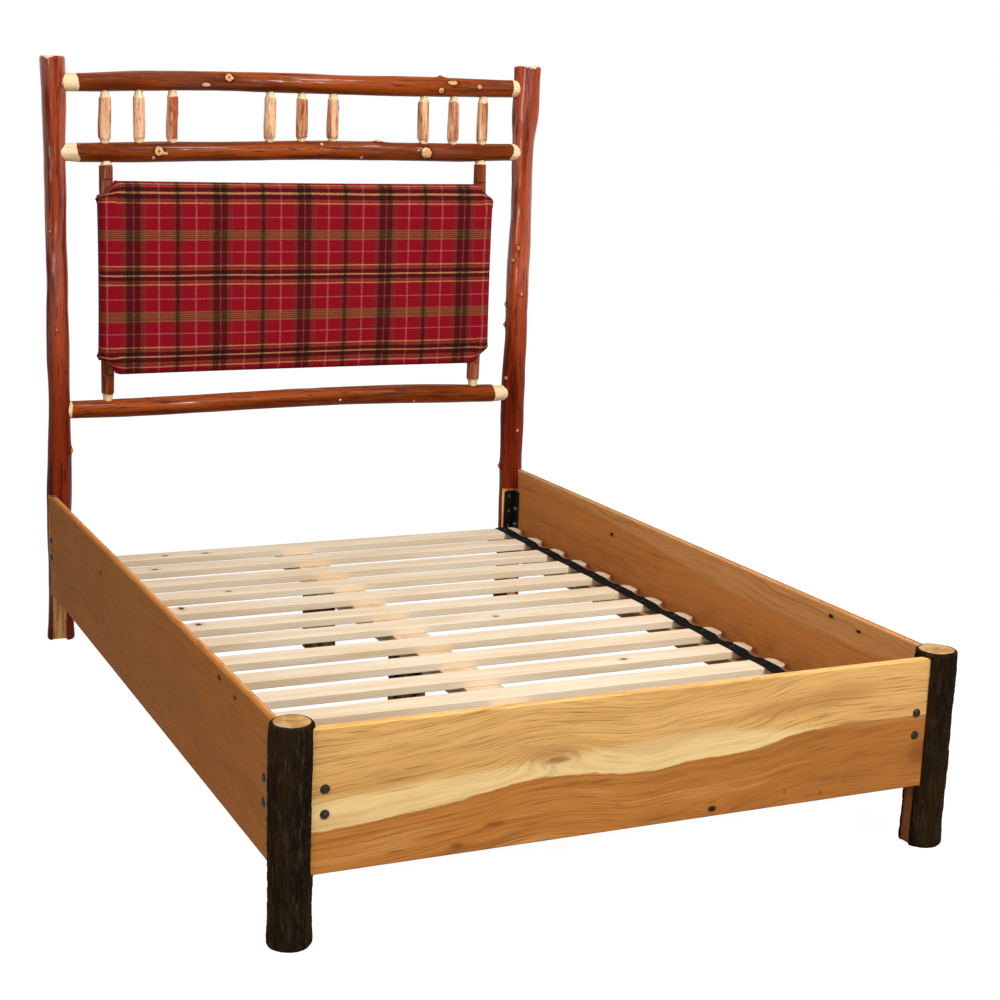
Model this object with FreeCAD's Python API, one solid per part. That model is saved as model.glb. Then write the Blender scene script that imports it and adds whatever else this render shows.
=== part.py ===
"""Rustic log bed for a double mattress: log headboard with an upholstered panel, plank rails,
bark-on foot posts, slatted deck on ledgers and a centre beam on log legs. Millimetres, +Z up,
foot of the bed towards -Y, origin on the floor at the middle of the bed's footprint."""
import FreeCAD, Part
import math
import os

Vector = FreeCAD.Vector

# Mattress and the room left round it
MATTRESS_WIDTH = 1372.0
MATTRESS_LENGTH = 1905.0
SIDE_ROOM = 9.0
LENGTH_ROOM = 40.0

# Fits
CLEARANCE = 0.3
SHOULDER_GAP = 0.6
OVERRUN = 60.0

# Planks of the side rails and the footboard
PLANK_THICKNESS = 19.0
PLANK_HEIGHT = 272.0
PLANK_FLOOR_GAP = 133.0
PLANK_EDGE_RADIUS = 4.0

# Bark-on foot posts
FOOT_POST_RADIUS = 42.0
FOOT_POST_RISE = 11.0
FOOT_FLAT_DISTANCE = 30.0
FOOT_AXIS_INSET = 4.0
FOOT_GROOVE_WIDTH = 30.0
FOOT_GROOVE_SHIFT = 4.0

# Peeled head posts
HEAD_POST_RADIUS = 32.0
HEAD_POST_HEIGHT = 1590.0
LEFT_POST_SHORTER = 18.0
HEAD_FLAT_DISTANCE = 13.5
HEAD_AXIS_INSET = 10.0
HEAD_GROOVE_WIDTH = 38.0
HEAD_GROOVE_SHIFT = 8.0
GROOVE_ABOVE_BRACKET = 25.0
SEAT_PLAY = 2.0

# Headboard rails
RAIL_RADIUS = 26.0
TENON_RADIUS = 23.0
TENON_DEPTH = 27.0
TENON_SHOW = 14.0
RAIL_WHITTLE = 16.0
TOP_RAIL_DROP = 75.0
SECOND_RAIL_DROP = 180.0
LOWER_RAIL_ABOVE_PLANK = 233.0
UPPER_RAIL_RISE = 20.0

# Spindles between the two upper rails, in three groups of three
SPINDLE_RADIUS = 16.0
SPINDLE_TENON_RADIUS = 10.0
SPINDLE_TENON_DEPTH = 18.0
SPINDLE_TAPER = 22.0
SPINDLE_PITCH = 92.0
SPINDLE_GROUP_SHARE = 0.33
SPINDLES_PER_GROUP = 3
SPINDLE_GROUPS = 3

# Stiles that carry the panel
STILE_RADIUS = 18.5
STILE_TENON_RADIUS = 12.0
STILE_FROM_PANEL_END = 24.0
STILE_FLAT_DISTANCE = 12.5

# Upholstered panel
PANEL_END_GAP = 123.0
PANEL_BELOW_SECOND_RAIL = 87.0
PANEL_ABOVE_LOWER_RAIL = 104.0
PANEL_BOARD_THICKNESS = 15.0
PANEL_CORNER_WIDTH = 50.0
PANEL_CORNER_HEIGHT = 44.0
CUSHION_WALL = 4.0
CUSHION_EDGE_DEPTH = 24.0
CUSHION_CROWN = 11.0
CUSHION_DRAW_IN = 3.0
CUSHION_SWELL = 3.0
CUSHION_ROLL = 14.0

# Slats and their webbing
SLAT_COUNT = 14
SLAT_WIDTH = 63.5
SLAT_THICKNESS = 19.0
SLAT_END_GAP = 14.0
SLAT_CORNER = 12.0
SLAT_EDGE_RADIUS = 2.0
STRAP_WIDTH = 36.0
STRAP_THICKNESS = 1.5
STRAP_FROM_END = 27.0
STAPLE_CROWN = 12.0
STAPLE_WIRE = 1.2
STAPLE_LEG = 9.0

# Ledgers
LEDGER_WIDTH = 88.0
LEDGER_THICKNESS = 38.0
DECK_BELOW_PLANK_TOP = 190.0
LEDGER_END_GAP = 6.0
LEDGER_SCREWS_PER_SIDE = 5
LEDGER_SCREW_BITE = 12.0

# Centre beam, its cleat and legs
BEAM_WIDTH = 88.0
BEAM_THICKNESS = 38.0
BEAM_SHIFT = -30.0
BEAM_HEAD_GAP = 20.0
CLEAT_HEIGHT = 40.0
CLEAT_DEPTH = 38.0
LEG_RADIUS = 46.0
FRONT_LEG_SHARE = 0.54
BACK_LEG_SHARE = 0.86

# Corner brackets, bolts, nuts and screws
BRACKET_LEG = 34.0
FOOT_BRACKET_PLANK_LEG = 67.0
BRACKET_THICKNESS = 3.0
BRACKET_HEIGHT = 122.0
BRACKET_CORNER_RADIUS = 6.0
BRACKET_ABOVE_LEDGER = 2.5
FOOTBOARD_BRACKET_RAISE = 7.0
BRACKET_SCREW_FROM_END = 15.0
BRACKET_SCREWS = 3
BRACKET_SCREW_FROM_CORNER = 20.0
HEAD_BOLT_FROM_CORNER = 18.0
FOOT_BOLT_FROM_CORNER = 51.0
FOOTBOARD_BOLT_FROM_CORNER = 25.0
BOLT_TOP_EDGE = 54.0
BOLT_SPACING = 47.0
BOLTS_PER_END = 2
BOLT_RADIUS = 4.0
BOLT_HEAD_RADIUS = 9.0
BOLT_HEAD_HEIGHT = 4.5
BOLT_END = 3.0
NUT_ACROSS_FLATS = 13.0
NUT_HEIGHT = 6.5
SCREW_RADIUS = 2.2
SCREW_HEAD_RADIUS = 4.8
SCREW_HEAD_HEIGHT = 2.6
SCREW_DEPTH = 22.0
BEAM_SCREW_LENGTH = 70.0
PANEL_SCREW_REACH = 10.0
PANEL_SCREWS_PER_STILE = 3

# Shares of a log's length and of its radius, chosen by hand for each log
HEAD_LEFT_RADIUS_SHARES = ((0.0, 1.24), (0.05, 1.10), (0.12, 1.03), (0.28, 1.02), (0.50, 0.92),
                           (0.75, 0.90), (0.93, 0.95), (1.0, 1.06))
HEAD_LEFT_DRIFT_SHARES = ((0.0, 0.0), (0.0, 0.0), (0.0, 0.0), (0.0, 0.0), (0.10, 0.03),
                          (0.06, 0.0), (0.0, 0.0), (-0.10, 0.0))
HEAD_RIGHT_RADIUS_SHARES = ((0.0, 1.22), (0.05, 1.10), (0.12, 1.04), (0.28, 1.03), (0.50, 1.04),
                            (0.75, 0.96), (0.93, 1.04), (1.0, 1.18))
HEAD_RIGHT_DRIFT_SHARES = ((0.0, 0.0), (0.0, 0.0), (0.0, 0.0), (0.0, 0.0), (-0.08, 0.0),
                           (0.05, 0.03), (0.08, 0.0), (0.12, 0.0))
FOOT_RADIUS_SHARES = ((0.0, 1.0), (0.06, 0.98), (0.30, 0.96), (0.65, 0.97), (0.92, 0.99),
                      (1.0, 0.97))
LEG_RADIUS_SHARES = ((0.0, 1.0), (0.3, 0.97), (0.7, 0.98), (1.0, 1.0))
TOP_RAIL_SHARES = ((0.0, 0.93), (0.12, 1.0), (0.30, 0.98), (0.45, 1.03), (0.62, 1.0),
                   (0.82, 1.05), (1.0, 0.94))
SECOND_RAIL_SHARES = ((0.0, 0.95), (0.10, 1.05), (0.32, 1.0), (0.55, 1.02), (0.75, 0.98),
                      (0.90, 1.0), (1.0, 0.92))
LOWER_RAIL_SHARES = ((0.0, 0.94), (0.15, 0.99), (0.35, 0.97), (0.60, 1.0), (0.80, 1.06),
                     (1.0, 0.98))
TOP_RAIL_BOW_SHARES = (0.0, 0.22, 0.34, 0.28, 0.16, 0.10, 0.0)
SECOND_RAIL_BOW_SHARES = (0.0, 0.02, 0.10, 0.24, 0.06, -0.04, 0.0)
LOWER_RAIL_BOW_SHARES = (0.0, 0.04, 0.22, 0.40, 0.28, 0.0)
SPINDLE_SHARES = ((0.0, 0.95), (0.35, 1.03), (0.7, 0.98), (1.0, 0.95))
STILE_SHARES = ((0.0, 0.94), (0.2, 1.0), (0.5, 0.97), (0.8, 1.02), (1.0, 0.96))
SLAT_SHIFT_SHARES = (0.0, 0.01, -0.02, 0.02, 0.03, -0.02, 0.05, -0.03, -0.01, 0.02, 0.05,
                     -0.04, 0.01, 0.0)

# Sizes that follow from those above
INNER_WIDTH = MATTRESS_WIDTH + 2 * SIDE_ROOM
INNER_HALF = INNER_WIDTH / 2
OUTER_HALF = INNER_HALF + PLANK_THICKNESS
RAIL_END = PLANK_THICKNESS + MATTRESS_LENGTH + LENGTH_ROOM
PLANK_TOP = PLANK_FLOOR_GAP + PLANK_HEIGHT
FOOT_X = INNER_HALF - FOOT_AXIS_INSET
FOOT_Y = PLANK_THICKNESS + FOOT_AXIS_INSET
FOOT_HEIGHT = PLANK_TOP + FOOT_POST_RISE
HEAD_X = INNER_HALF - HEAD_AXIS_INSET
HEAD_Y = RAIL_END + HEAD_FLAT_DISTANCE
LEDGER_TOP = PLANK_TOP - DECK_BELOW_PLANK_TOP
SLAT_TOP = LEDGER_TOP + SLAT_THICKNESS
BRACKET_BOTTOM = LEDGER_TOP + BRACKET_ABOVE_LEDGER
BRACKET_TOP = BRACKET_BOTTOM + BRACKET_HEIGHT
TOP_RAIL_HEIGHT = HEAD_POST_HEIGHT - TOP_RAIL_DROP
SECOND_RAIL_HEIGHT = TOP_RAIL_HEIGHT - SECOND_RAIL_DROP
LOWER_RAIL_HEIGHT = PLANK_TOP + LOWER_RAIL_ABOVE_PLANK
SPINDLE_GROUP_PITCH = SPINDLE_GROUP_SHARE * INNER_WIDTH
PANEL_WIDTH = INNER_WIDTH - 2 * PANEL_END_GAP
PANEL_TOP = SECOND_RAIL_HEIGHT - PANEL_BELOW_SECOND_RAIL
PANEL_BOTTOM = LOWER_RAIL_HEIGHT + PANEL_ABOVE_LOWER_RAIL
PANEL_HEIGHT = PANEL_TOP - PANEL_BOTTOM
PANEL_MIDDLE_HEIGHT = (PANEL_TOP + PANEL_BOTTOM) / 2
STILE_X = PANEL_WIDTH / 2 - STILE_FROM_PANEL_END
BOARD_BACK = HEAD_Y - STILE_FLAT_DISTANCE
BOARD_FRONT = BOARD_BACK - PANEL_BOARD_THICKNESS
BEAM_BOTTOM = LEDGER_TOP - BEAM_THICKNESS
BEAM_END = RAIL_END - BEAM_HEAD_GAP
BODY_OVERLAP = RAIL_WHITTLE / 8
RAIL_BODY_HALF = HEAD_X - HEAD_POST_RADIUS - TENON_SHOW - RAIL_WHITTLE + BODY_OVERLAP

pieces = {}


def box(x0, x1, y0, y1, z0, z1):
    """Box between two corners."""
    return Part.makeBox(x1 - x0, y1 - y0, z1 - z0, Vector(x0, y0, z0))


def rod(radius, start, end):
    """Round bar from one point to another."""
    axis = end - start
    return Part.makeCylinder(radius, axis.Length, start, axis)


def group(shapes):
    """Several separate solids kept together."""
    solids = []
    for shape in shapes:
        solids.extend(shape.Solids)
    return Part.makeCompound(solids)


def upright_log(base, length, radius, radius_shares, drift_shares=None):
    """A tapering log that stands on its base point."""
    wires = []
    for index, (place_share, radius_share) in enumerate(radius_shares):
        drift_x, drift_y = drift_shares[index] if drift_shares else (0, 0)
        centre = base + Vector(drift_x * radius, drift_y * radius, place_share * length)
        circle = Part.Circle(centre, Vector(0, 0, 1), radius_share * radius)
        wires.append(Part.Wire([circle.toShape()]))
    return Part.makeLoft(wires, True, False)


def lying_log(half_length, radius, radius_shares, bow_shares):
    """A log along X, centred on the origin, that bows upwards between its ends."""
    wires = []
    for (place_share, radius_share), bow_share in zip(radius_shares, bow_shares):
        place = (2 * place_share - 1) * half_length
        centre = Vector(place, 0, bow_share * radius)
        circle = Part.Circle(centre, Vector(1, 0, 0), radius_share * radius)
        wires.append(Part.Wire([circle.toShape()]))
    return Part.makeLoft(wires, True, False)


def upper_rail_height(base_height, x):
    """Height of an upper rail's axis above the floor at x."""
    return base_height + UPPER_RAIL_RISE * x / (2 * HEAD_X)


def rail_surface(radius_shares, bow_shares, x):
    """How far a headboard rail's upper and lower surfaces lie from its straight axis at x."""
    place_share = (x / RAIL_BODY_HALF + 1) / 2
    for index in range(len(radius_shares) - 1):
        start, start_radius = radius_shares[index]
        end, end_radius = radius_shares[index + 1]
        if start <= place_share <= end:
            part = (place_share - start) / (end - start)
            radius = start_radius + part * (end_radius - start_radius)
            bow = bow_shares[index] + part * (bow_shares[index + 1] - bow_shares[index])
            return (bow + radius) * RAIL_RADIUS, (bow - radius) * RAIL_RADIUS
    return RAIL_RADIUS, -RAIL_RADIUS


# Corner hardware, drawn once with the inner corner of the bracket at the origin, its post leg
# along -X against the plane y = 0 and its plank leg along -Y against the plane x = 0
BRACKET_SCREW_SPACING = (BRACKET_HEIGHT - 2 * BRACKET_SCREW_FROM_END) / (BRACKET_SCREWS - 1)
BOLT_HEIGHTS = [BRACKET_TOP - BOLT_TOP_EDGE - BOLT_SPACING * i for i in range(BOLTS_PER_END)]
SCREW_HEIGHTS = [BRACKET_TOP - BRACKET_SCREW_FROM_END - BRACKET_SCREW_SPACING * i
                 for i in range(BRACKET_SCREWS)]
SCREW_PILOT = SCREW_RADIUS + CLEARANCE
BOLT_HOLE = BOLT_RADIUS + CLEARANCE


def draw_bracket(plank_reach, bolt_place):
    post_leg = box(-BRACKET_LEG, 0, -BRACKET_THICKNESS, 0, BRACKET_BOTTOM, BRACKET_TOP)
    plank_leg = box(-BRACKET_THICKNESS, 0, -plank_reach, 0, BRACKET_BOTTOM, BRACKET_TOP)
    far_edges = [edge for edge in post_leg.Edges
                 if abs(edge.BoundBox.XMax + BRACKET_LEG) < CLEARANCE
                 and edge.BoundBox.YLength > CLEARANCE]
    post_leg = post_leg.makeFillet(BRACKET_CORNER_RADIUS, far_edges)
    far_edges = [edge for edge in plank_leg.Edges
                 if abs(edge.BoundBox.YMax + plank_reach) < CLEARANCE
                 and edge.BoundBox.XLength > CLEARANCE]
    plank_leg = plank_leg.makeFillet(BRACKET_CORNER_RADIUS, far_edges)
    shape = post_leg.fuse(plank_leg).removeSplitter()
    for z in SCREW_HEIGHTS:
        shape = shape.cut(rod(SCREW_PILOT, Vector(-BRACKET_SCREW_FROM_CORNER, -OVERRUN, z),
                              Vector(-BRACKET_SCREW_FROM_CORNER, OVERRUN, z)))
    for hole in draw_bolt_holes(bolt_place):
        shape = shape.cut(hole)
    return shape


def draw_bolt_holes(bolt_place):
    """Clearance holes through a plank and its bracket, bolt_place from the corner."""
    return [rod(BOLT_HOLE, Vector(-OVERRUN, -bolt_place, z), Vector(OVERRUN, -bolt_place, z))
            for z in BOLT_HEIGHTS]


def draw_bolt(bolt_place, z):
    """Round-headed bolt from the plank's outer face through the bracket, pointing inwards."""
    shank_start = Vector(PLANK_THICKNESS, -bolt_place, z)
    inner_end = -(BRACKET_THICKNESS + NUT_HEIGHT + BOLT_END)
    shank = rod(BOLT_RADIUS, shank_start, Vector(inner_end, -bolt_place, z))
    head = rod(BOLT_HEAD_RADIUS, shank_start,
               shank_start + Vector(BOLT_HEAD_HEIGHT, 0, 0))
    rim = [edge for edge in head.Edges
           if edge.BoundBox.XMin > PLANK_THICKNESS + BOLT_HEAD_HEIGHT - CLEARANCE]
    head = head.makeFillet(BOLT_HEAD_HEIGHT * 3 / 4, rim)
    return head.fuse(shank).removeSplitter()


def draw_nut(bolt_place, z):
    """Hexagon nut on the bolt, seated on the bracket's plank leg."""
    corner = NUT_ACROSS_FLATS / math.sqrt(3)
    points = []
    for i in range(7):
        angle = math.pi * i / 3
        points.append(Vector(-BRACKET_THICKNESS, -bolt_place + corner * math.cos(angle),
                             z + corner * math.sin(angle)))
    blank = Part.Face(Part.makePolygon(points)).extrude(Vector(-NUT_HEIGHT, 0, 0))
    return blank.cut(rod(BOLT_HOLE, Vector(-OVERRUN, -bolt_place, z),
                         Vector(OVERRUN, -bolt_place, z)))


def screw(seat, direction, length):
    """Pan-headed screw whose head lies on the seat point and whose shank goes along direction."""
    direction = Vector(direction)
    shank = rod(SCREW_RADIUS, seat, seat + direction * length)
    head = rod(SCREW_HEAD_RADIUS, seat, seat - direction * SCREW_HEAD_HEIGHT)
    return shank.fuse(head).removeSplitter()


def draw_bracket_screw(z):
    seat = Vector(-BRACKET_SCREW_FROM_CORNER, -BRACKET_THICKNESS, z)
    return screw(seat, (0, 1, 0), BRACKET_THICKNESS + SCREW_DEPTH)


def draw_bracket_pilot(z):
    start = Vector(-BRACKET_SCREW_FROM_CORNER, -BRACKET_THICKNESS, z)
    return rod(SCREW_PILOT, start, Vector(-BRACKET_SCREW_FROM_CORNER, SCREW_DEPTH + CLEARANCE, z))


def mirrored(shape, across_x=False, across_y=False):
    if across_x:
        shape = shape.mirror(Vector(0, 0, 0), Vector(1, 0, 0))
    if across_y:
        shape = shape.mirror(Vector(0, 0, 0), Vector(0, 1, 0))
    return shape


def at_head(shape, side):
    """Corner of a side rail and a head post; side is 1 on the right and -1 on the left."""
    moved = shape.copy()
    moved.translate(Vector(INNER_HALF, RAIL_END, 0))
    return moved if side > 0 else mirrored(moved, across_x=True)


def at_foot(shape, side):
    """Corner of a side rail and a foot post."""
    moved = mirrored(shape, across_y=True)
    moved.translate(Vector(INNER_HALF, FOOT_Y + FOOT_FLAT_DISTANCE, 0))
    return moved if side > 0 else mirrored(moved, across_x=True)


def at_footboard(shape, side):
    """Corner of the footboard and a foot post."""
    moved = shape.copy()
    moved.rotate(Vector(0, 0, 0), Vector(0, 0, 1), -90)
    moved.translate(Vector(FOOT_X - FOOT_FLAT_DISTANCE, PLANK_THICKNESS,
                           FOOTBOARD_BRACKET_RAISE))
    return moved if side > 0 else mirrored(moved, across_x=True)


bracket_screws = [draw_bracket_screw(z) for z in SCREW_HEIGHTS]
bracket_pilots = [draw_bracket_pilot(z) for z in SCREW_HEIGHTS]
SIDES = (-1, 1)
# Name of each corner's bracket and bolts, its place, its plank leg and its bolts' place
CORNERS = (("head_corner_brackets", "rail_bolts_head", at_head, BRACKET_LEG, HEAD_BOLT_FROM_CORNER),
           ("foot_corner_brackets", "rail_bolts_foot", at_foot, FOOT_BRACKET_PLANK_LEG,
            FOOT_BOLT_FROM_CORNER),
           ("footboard_brackets", "footboard_bolts", at_footboard, BRACKET_LEG,
            FOOTBOARD_BOLT_FROM_CORNER))
nut_shapes = []
screw_shapes = []
for bracket_name, bolt_name, at_corner, plank_reach, bolt_place in CORNERS:
    bracket = draw_bracket(plank_reach, bolt_place)
    bolts = [draw_bolt(bolt_place, z) for z in BOLT_HEIGHTS]
    nuts = [draw_nut(bolt_place, z) for z in BOLT_HEIGHTS]
    pieces[bracket_name] = group([at_corner(bracket, side) for side in SIDES])
    pieces[bolt_name] = group([at_corner(b, side) for side in SIDES for b in bolts])
    nut_shapes.extend([at_corner(n, side) for side in SIDES for n in nuts])
    screw_shapes.extend([at_corner(s, side) for side in SIDES for s in bracket_screws])
pieces["bolt_nuts"] = group(nut_shapes)
pieces["bracket_screws"] = group(screw_shapes)

# Side rails and footboard


def plank(x0, x1, y0, y1):
    """Upright board with eased long edges."""
    board = box(x0, x1, y0, y1, PLANK_FLOOR_GAP, PLANK_TOP)
    long_edges = []
    for edge in board.Edges:
        size = edge.BoundBox
        if max(size.XLength, size.YLength) > PLANK_HEIGHT:
            long_edges.append(edge)
    return board.makeFillet(PLANK_EDGE_RADIUS, long_edges)


for side, name in ((-1, "left"), (1, "right")):
    rail = plank(INNER_HALF, OUTER_HALF, FOOT_Y + FOOT_FLAT_DISTANCE, RAIL_END)
    if side < 0:
        rail = mirrored(rail, across_x=True)
    for hole in draw_bolt_holes(HEAD_BOLT_FROM_CORNER):
        rail = rail.cut(at_head(hole, side))
    for hole in draw_bolt_holes(FOOT_BOLT_FROM_CORNER):
        rail = rail.cut(at_foot(hole, side))
    pieces["side_rail_" + name] = rail

footboard = plank(-(FOOT_X - FOOT_FLAT_DISTANCE), FOOT_X - FOOT_FLAT_DISTANCE, 0,
                  PLANK_THICKNESS)
for hole in draw_bolt_holes(FOOTBOARD_BOLT_FROM_CORNER):
    for side in SIDES:
        footboard = footboard.cut(at_footboard(hole, side))

# Foot posts: a flat for each plank end with its bracket, and a narrower groove below


def foot_post(side):
    log = upright_log(Vector(FOOT_X, FOOT_Y, 0), FOOT_HEIGHT, FOOT_POST_RADIUS,
                      FOOT_RADIUS_SHARES)
    flat_y = FOOT_Y + FOOT_FLAT_DISTANCE
    flat_x = FOOT_X - FOOT_FLAT_DISTANCE
    seat_bottom = PLANK_FLOOR_GAP - SEAT_PLAY
    seat_top = PLANK_TOP + SEAT_PLAY
    log = log.cut(box(FOOT_X - OVERRUN, FOOT_X + OVERRUN, flat_y, flat_y + OVERRUN,
                      seat_bottom, seat_top))
    log = log.cut(box(flat_x - OVERRUN, flat_x, FOOT_Y - OVERRUN, FOOT_Y + OVERRUN,
                      seat_bottom, seat_top))
    half = FOOT_GROOVE_WIDTH / 2
    groove_x = FOOT_X - FOOT_GROOVE_SHIFT
    groove_y = FOOT_Y + FOOT_GROOVE_SHIFT
    log = log.cut(box(groove_x - half, groove_x + half, flat_y, flat_y + OVERRUN,
                      -OVERRUN, seat_top))
    log = log.cut(box(flat_x - OVERRUN, flat_x, groove_y - half, groove_y + half,
                      -OVERRUN, seat_top))
    if side < 0:
        log = mirrored(log, across_x=True)
    for pilot in bracket_pilots:
        log = log.cut(at_foot(pilot, side))
        log = log.cut(at_footboard(pilot, side))
    return log


pieces["foot_post_left"] = foot_post(-1)
pieces["foot_post_right"] = foot_post(1)

# Headboard rails: a bowed log with a round tenon at each end


def headboard_rail(radius_shares, bow_shares):
    shape = lying_log(RAIL_BODY_HALF, RAIL_RADIUS, radius_shares, bow_shares)
    tenon_end = HEAD_X - HEAD_POST_RADIUS + TENON_DEPTH
    for side in SIDES:
        tenon = rod(TENON_RADIUS, Vector(side * (RAIL_BODY_HALF - BODY_OVERLAP), 0, 0),
                    Vector(side * tenon_end, 0, 0))
        shape = shape.fuse(tenon)
    return shape


def rail_bore():
    reach = HEAD_X - HEAD_POST_RADIUS + TENON_DEPTH + CLEARANCE
    return rod(TENON_RADIUS + CLEARANCE, Vector(-reach, 0, 0), Vector(reach, 0, 0))


def placed_rail(shape, height, rise):
    moved = shape.copy()
    tilt = math.degrees(math.atan2(rise, 2 * HEAD_X))
    moved.rotate(Vector(0, 0, 0), Vector(0, 1, 0), -tilt)
    moved.translate(Vector(0, HEAD_Y, height))
    return moved


RAILS = (("headboard_top_rail", TOP_RAIL_SHARES, TOP_RAIL_BOW_SHARES, TOP_RAIL_HEIGHT,
          UPPER_RAIL_RISE),
         ("headboard_second_rail", SECOND_RAIL_SHARES, SECOND_RAIL_BOW_SHARES,
          SECOND_RAIL_HEIGHT, UPPER_RAIL_RISE),
         ("headboard_lower_rail", LOWER_RAIL_SHARES, LOWER_RAIL_BOW_SHARES, LOWER_RAIL_HEIGHT,
          0))
bores = []
for name, shares, bow_shares, height, rise in RAILS:
    pieces[name] = placed_rail(headboard_rail(shares, bow_shares), height, rise)
    bores.append(placed_rail(rail_bore(), height, rise))

# Head posts: bores for the rails, a seat for the plank and a flat for the bracket


def head_post(side):
    if side < 0:
        height = HEAD_POST_HEIGHT - LEFT_POST_SHORTER
        radius_shares = HEAD_LEFT_RADIUS_SHARES
        drift_shares = HEAD_LEFT_DRIFT_SHARES
    else:
        height = HEAD_POST_HEIGHT
        radius_shares = HEAD_RIGHT_RADIUS_SHARES
        drift_shares = HEAD_RIGHT_DRIFT_SHARES
    log = upright_log(Vector(side * HEAD_X, HEAD_Y, 0), height, HEAD_POST_RADIUS,
                      radius_shares, drift_shares)
    cuts = [box(INNER_HALF - CLEARANCE, INNER_HALF + OVERRUN, RAIL_END - OVERRUN, RAIL_END,
                PLANK_FLOOR_GAP - SEAT_PLAY, PLANK_TOP + SEAT_PLAY),
            box(INNER_HALF - BRACKET_LEG - OVERRUN, INNER_HALF, RAIL_END - OVERRUN, RAIL_END,
                PLANK_FLOOR_GAP - SEAT_PLAY, BRACKET_TOP + GROOVE_ABOVE_BRACKET)]
    groove_x = HEAD_X + HEAD_GROOVE_SHIFT
    half = HEAD_GROOVE_WIDTH / 2
    cuts.append(box(groove_x - half, groove_x + half, RAIL_END - OVERRUN, RAIL_END,
                    -OVERRUN, PLANK_FLOOR_GAP))
    for cut in cuts:
        if side < 0:
            cut = mirrored(cut, across_x=True)
        log = log.cut(cut)
    for bore in bores:
        log = log.cut(bore)
    for pilot in bracket_pilots:
        log = log.cut(at_head(pilot, side))
    return log


pieces["head_post_left"] = head_post(-1)
pieces["head_post_right"] = head_post(1)

# Spindles: short logs with tapered ends and round tenons


def tapered_upright(x, bottom, top, radius, shares, tenon_radius, tenon_depth):
    """Log between two rails at x, whose shoulders taper to round tenons."""
    base = Vector(x, HEAD_Y, bottom + SPINDLE_TAPER)
    shape = upright_log(base, top - bottom - 2 * SPINDLE_TAPER, radius, shares)
    ends = ((bottom, bottom + SPINDLE_TAPER, shares[0][1]),
            (top, top - SPINDLE_TAPER, shares[-1][1]))
    for rail_side, body_side, body_share in ends:
        inward = Vector(0, 0, body_side - rail_side)
        cone = Part.makeCone(tenon_radius, radius * body_share, inward.Length,
                             Vector(x, HEAD_Y, rail_side), inward)
        outward = Vector(0, 0, rail_side - body_side)
        outward.normalize()
        tenon = rod(tenon_radius, Vector(x, HEAD_Y, rail_side),
                    Vector(x, HEAD_Y, rail_side) + outward * tenon_depth)
        shape = shape.fuse(cone).fuse(tenon)
    return shape


spindle_number = 0
spindle_places = []
for group_index in range(SPINDLE_GROUPS):
    group_x = SPINDLE_GROUP_PITCH * (group_index - (SPINDLE_GROUPS - 1) / 2)
    for index in range(SPINDLES_PER_GROUP):
        spindle_places.append(group_x + SPINDLE_PITCH * (index - (SPINDLES_PER_GROUP - 1) / 2))

for x in spindle_places:
    spindle_number += 1
    top = upper_rail_height(TOP_RAIL_HEIGHT, x) - SHOULDER_GAP
    top += rail_surface(TOP_RAIL_SHARES, TOP_RAIL_BOW_SHARES, x)[1]
    bottom = upper_rail_height(SECOND_RAIL_HEIGHT, x) + SHOULDER_GAP
    bottom += rail_surface(SECOND_RAIL_SHARES, SECOND_RAIL_BOW_SHARES, x)[0]
    spindle = tapered_upright(x, bottom, top, SPINDLE_RADIUS, SPINDLE_SHARES,
                              SPINDLE_TENON_RADIUS, SPINDLE_TENON_DEPTH)
    pieces["spindle_%d" % spindle_number] = spindle
    hole = rod(SPINDLE_TENON_RADIUS + CLEARANCE,
               Vector(x, HEAD_Y, bottom - SPINDLE_TENON_DEPTH - CLEARANCE),
               Vector(x, HEAD_Y, top + SPINDLE_TENON_DEPTH + CLEARANCE))
    for name in ("headboard_top_rail", "headboard_second_rail"):
        pieces[name] = pieces[name].cut(hole)

# Panel stiles, flattened in front where the board is screwed to them


def panel_outline(y, grow, draw_in):
    """Closed outline of the panel at depth y: a rectangle with clipped corners whose sides are
    drawn in at their middles."""
    half_w = PANEL_WIDTH / 2 + grow
    half_h = PANEL_HEIGHT / 2 + grow
    cut_w = PANEL_CORNER_WIDTH
    cut_h = PANEL_CORNER_HEIGHT
    mid_z = PANEL_MIDDLE_HEIGHT
    corners = [(-half_w + cut_w, -half_h), (half_w - cut_w, -half_h),
               (half_w, -half_h + cut_h), (half_w, half_h - cut_h),
               (half_w - cut_w, half_h), (-half_w + cut_w, half_h),
               (-half_w, half_h - cut_h), (-half_w, -half_h + cut_h)]
    bends = ((0, 1), None, (-1, 0), None, (0, -1), None, (1, 0), None)
    edges = []
    for i, bend in enumerate(bends):
        x0, z0 = corners[i]
        x1, z1 = corners[(i + 1) % len(corners)]
        start = Vector(x0, y, mid_z + z0)
        end = Vector(x1, y, mid_z + z1)
        if bend and draw_in:
            middle = (start + end) / 2 + Vector(bend[0] * draw_in, 0, bend[1] * draw_in)
            edges.append(Part.Arc(start, middle, end).toShape())
        else:
            edges.append(Part.LineSegment(start, end).toShape())
    return Part.Wire(edges)


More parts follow.
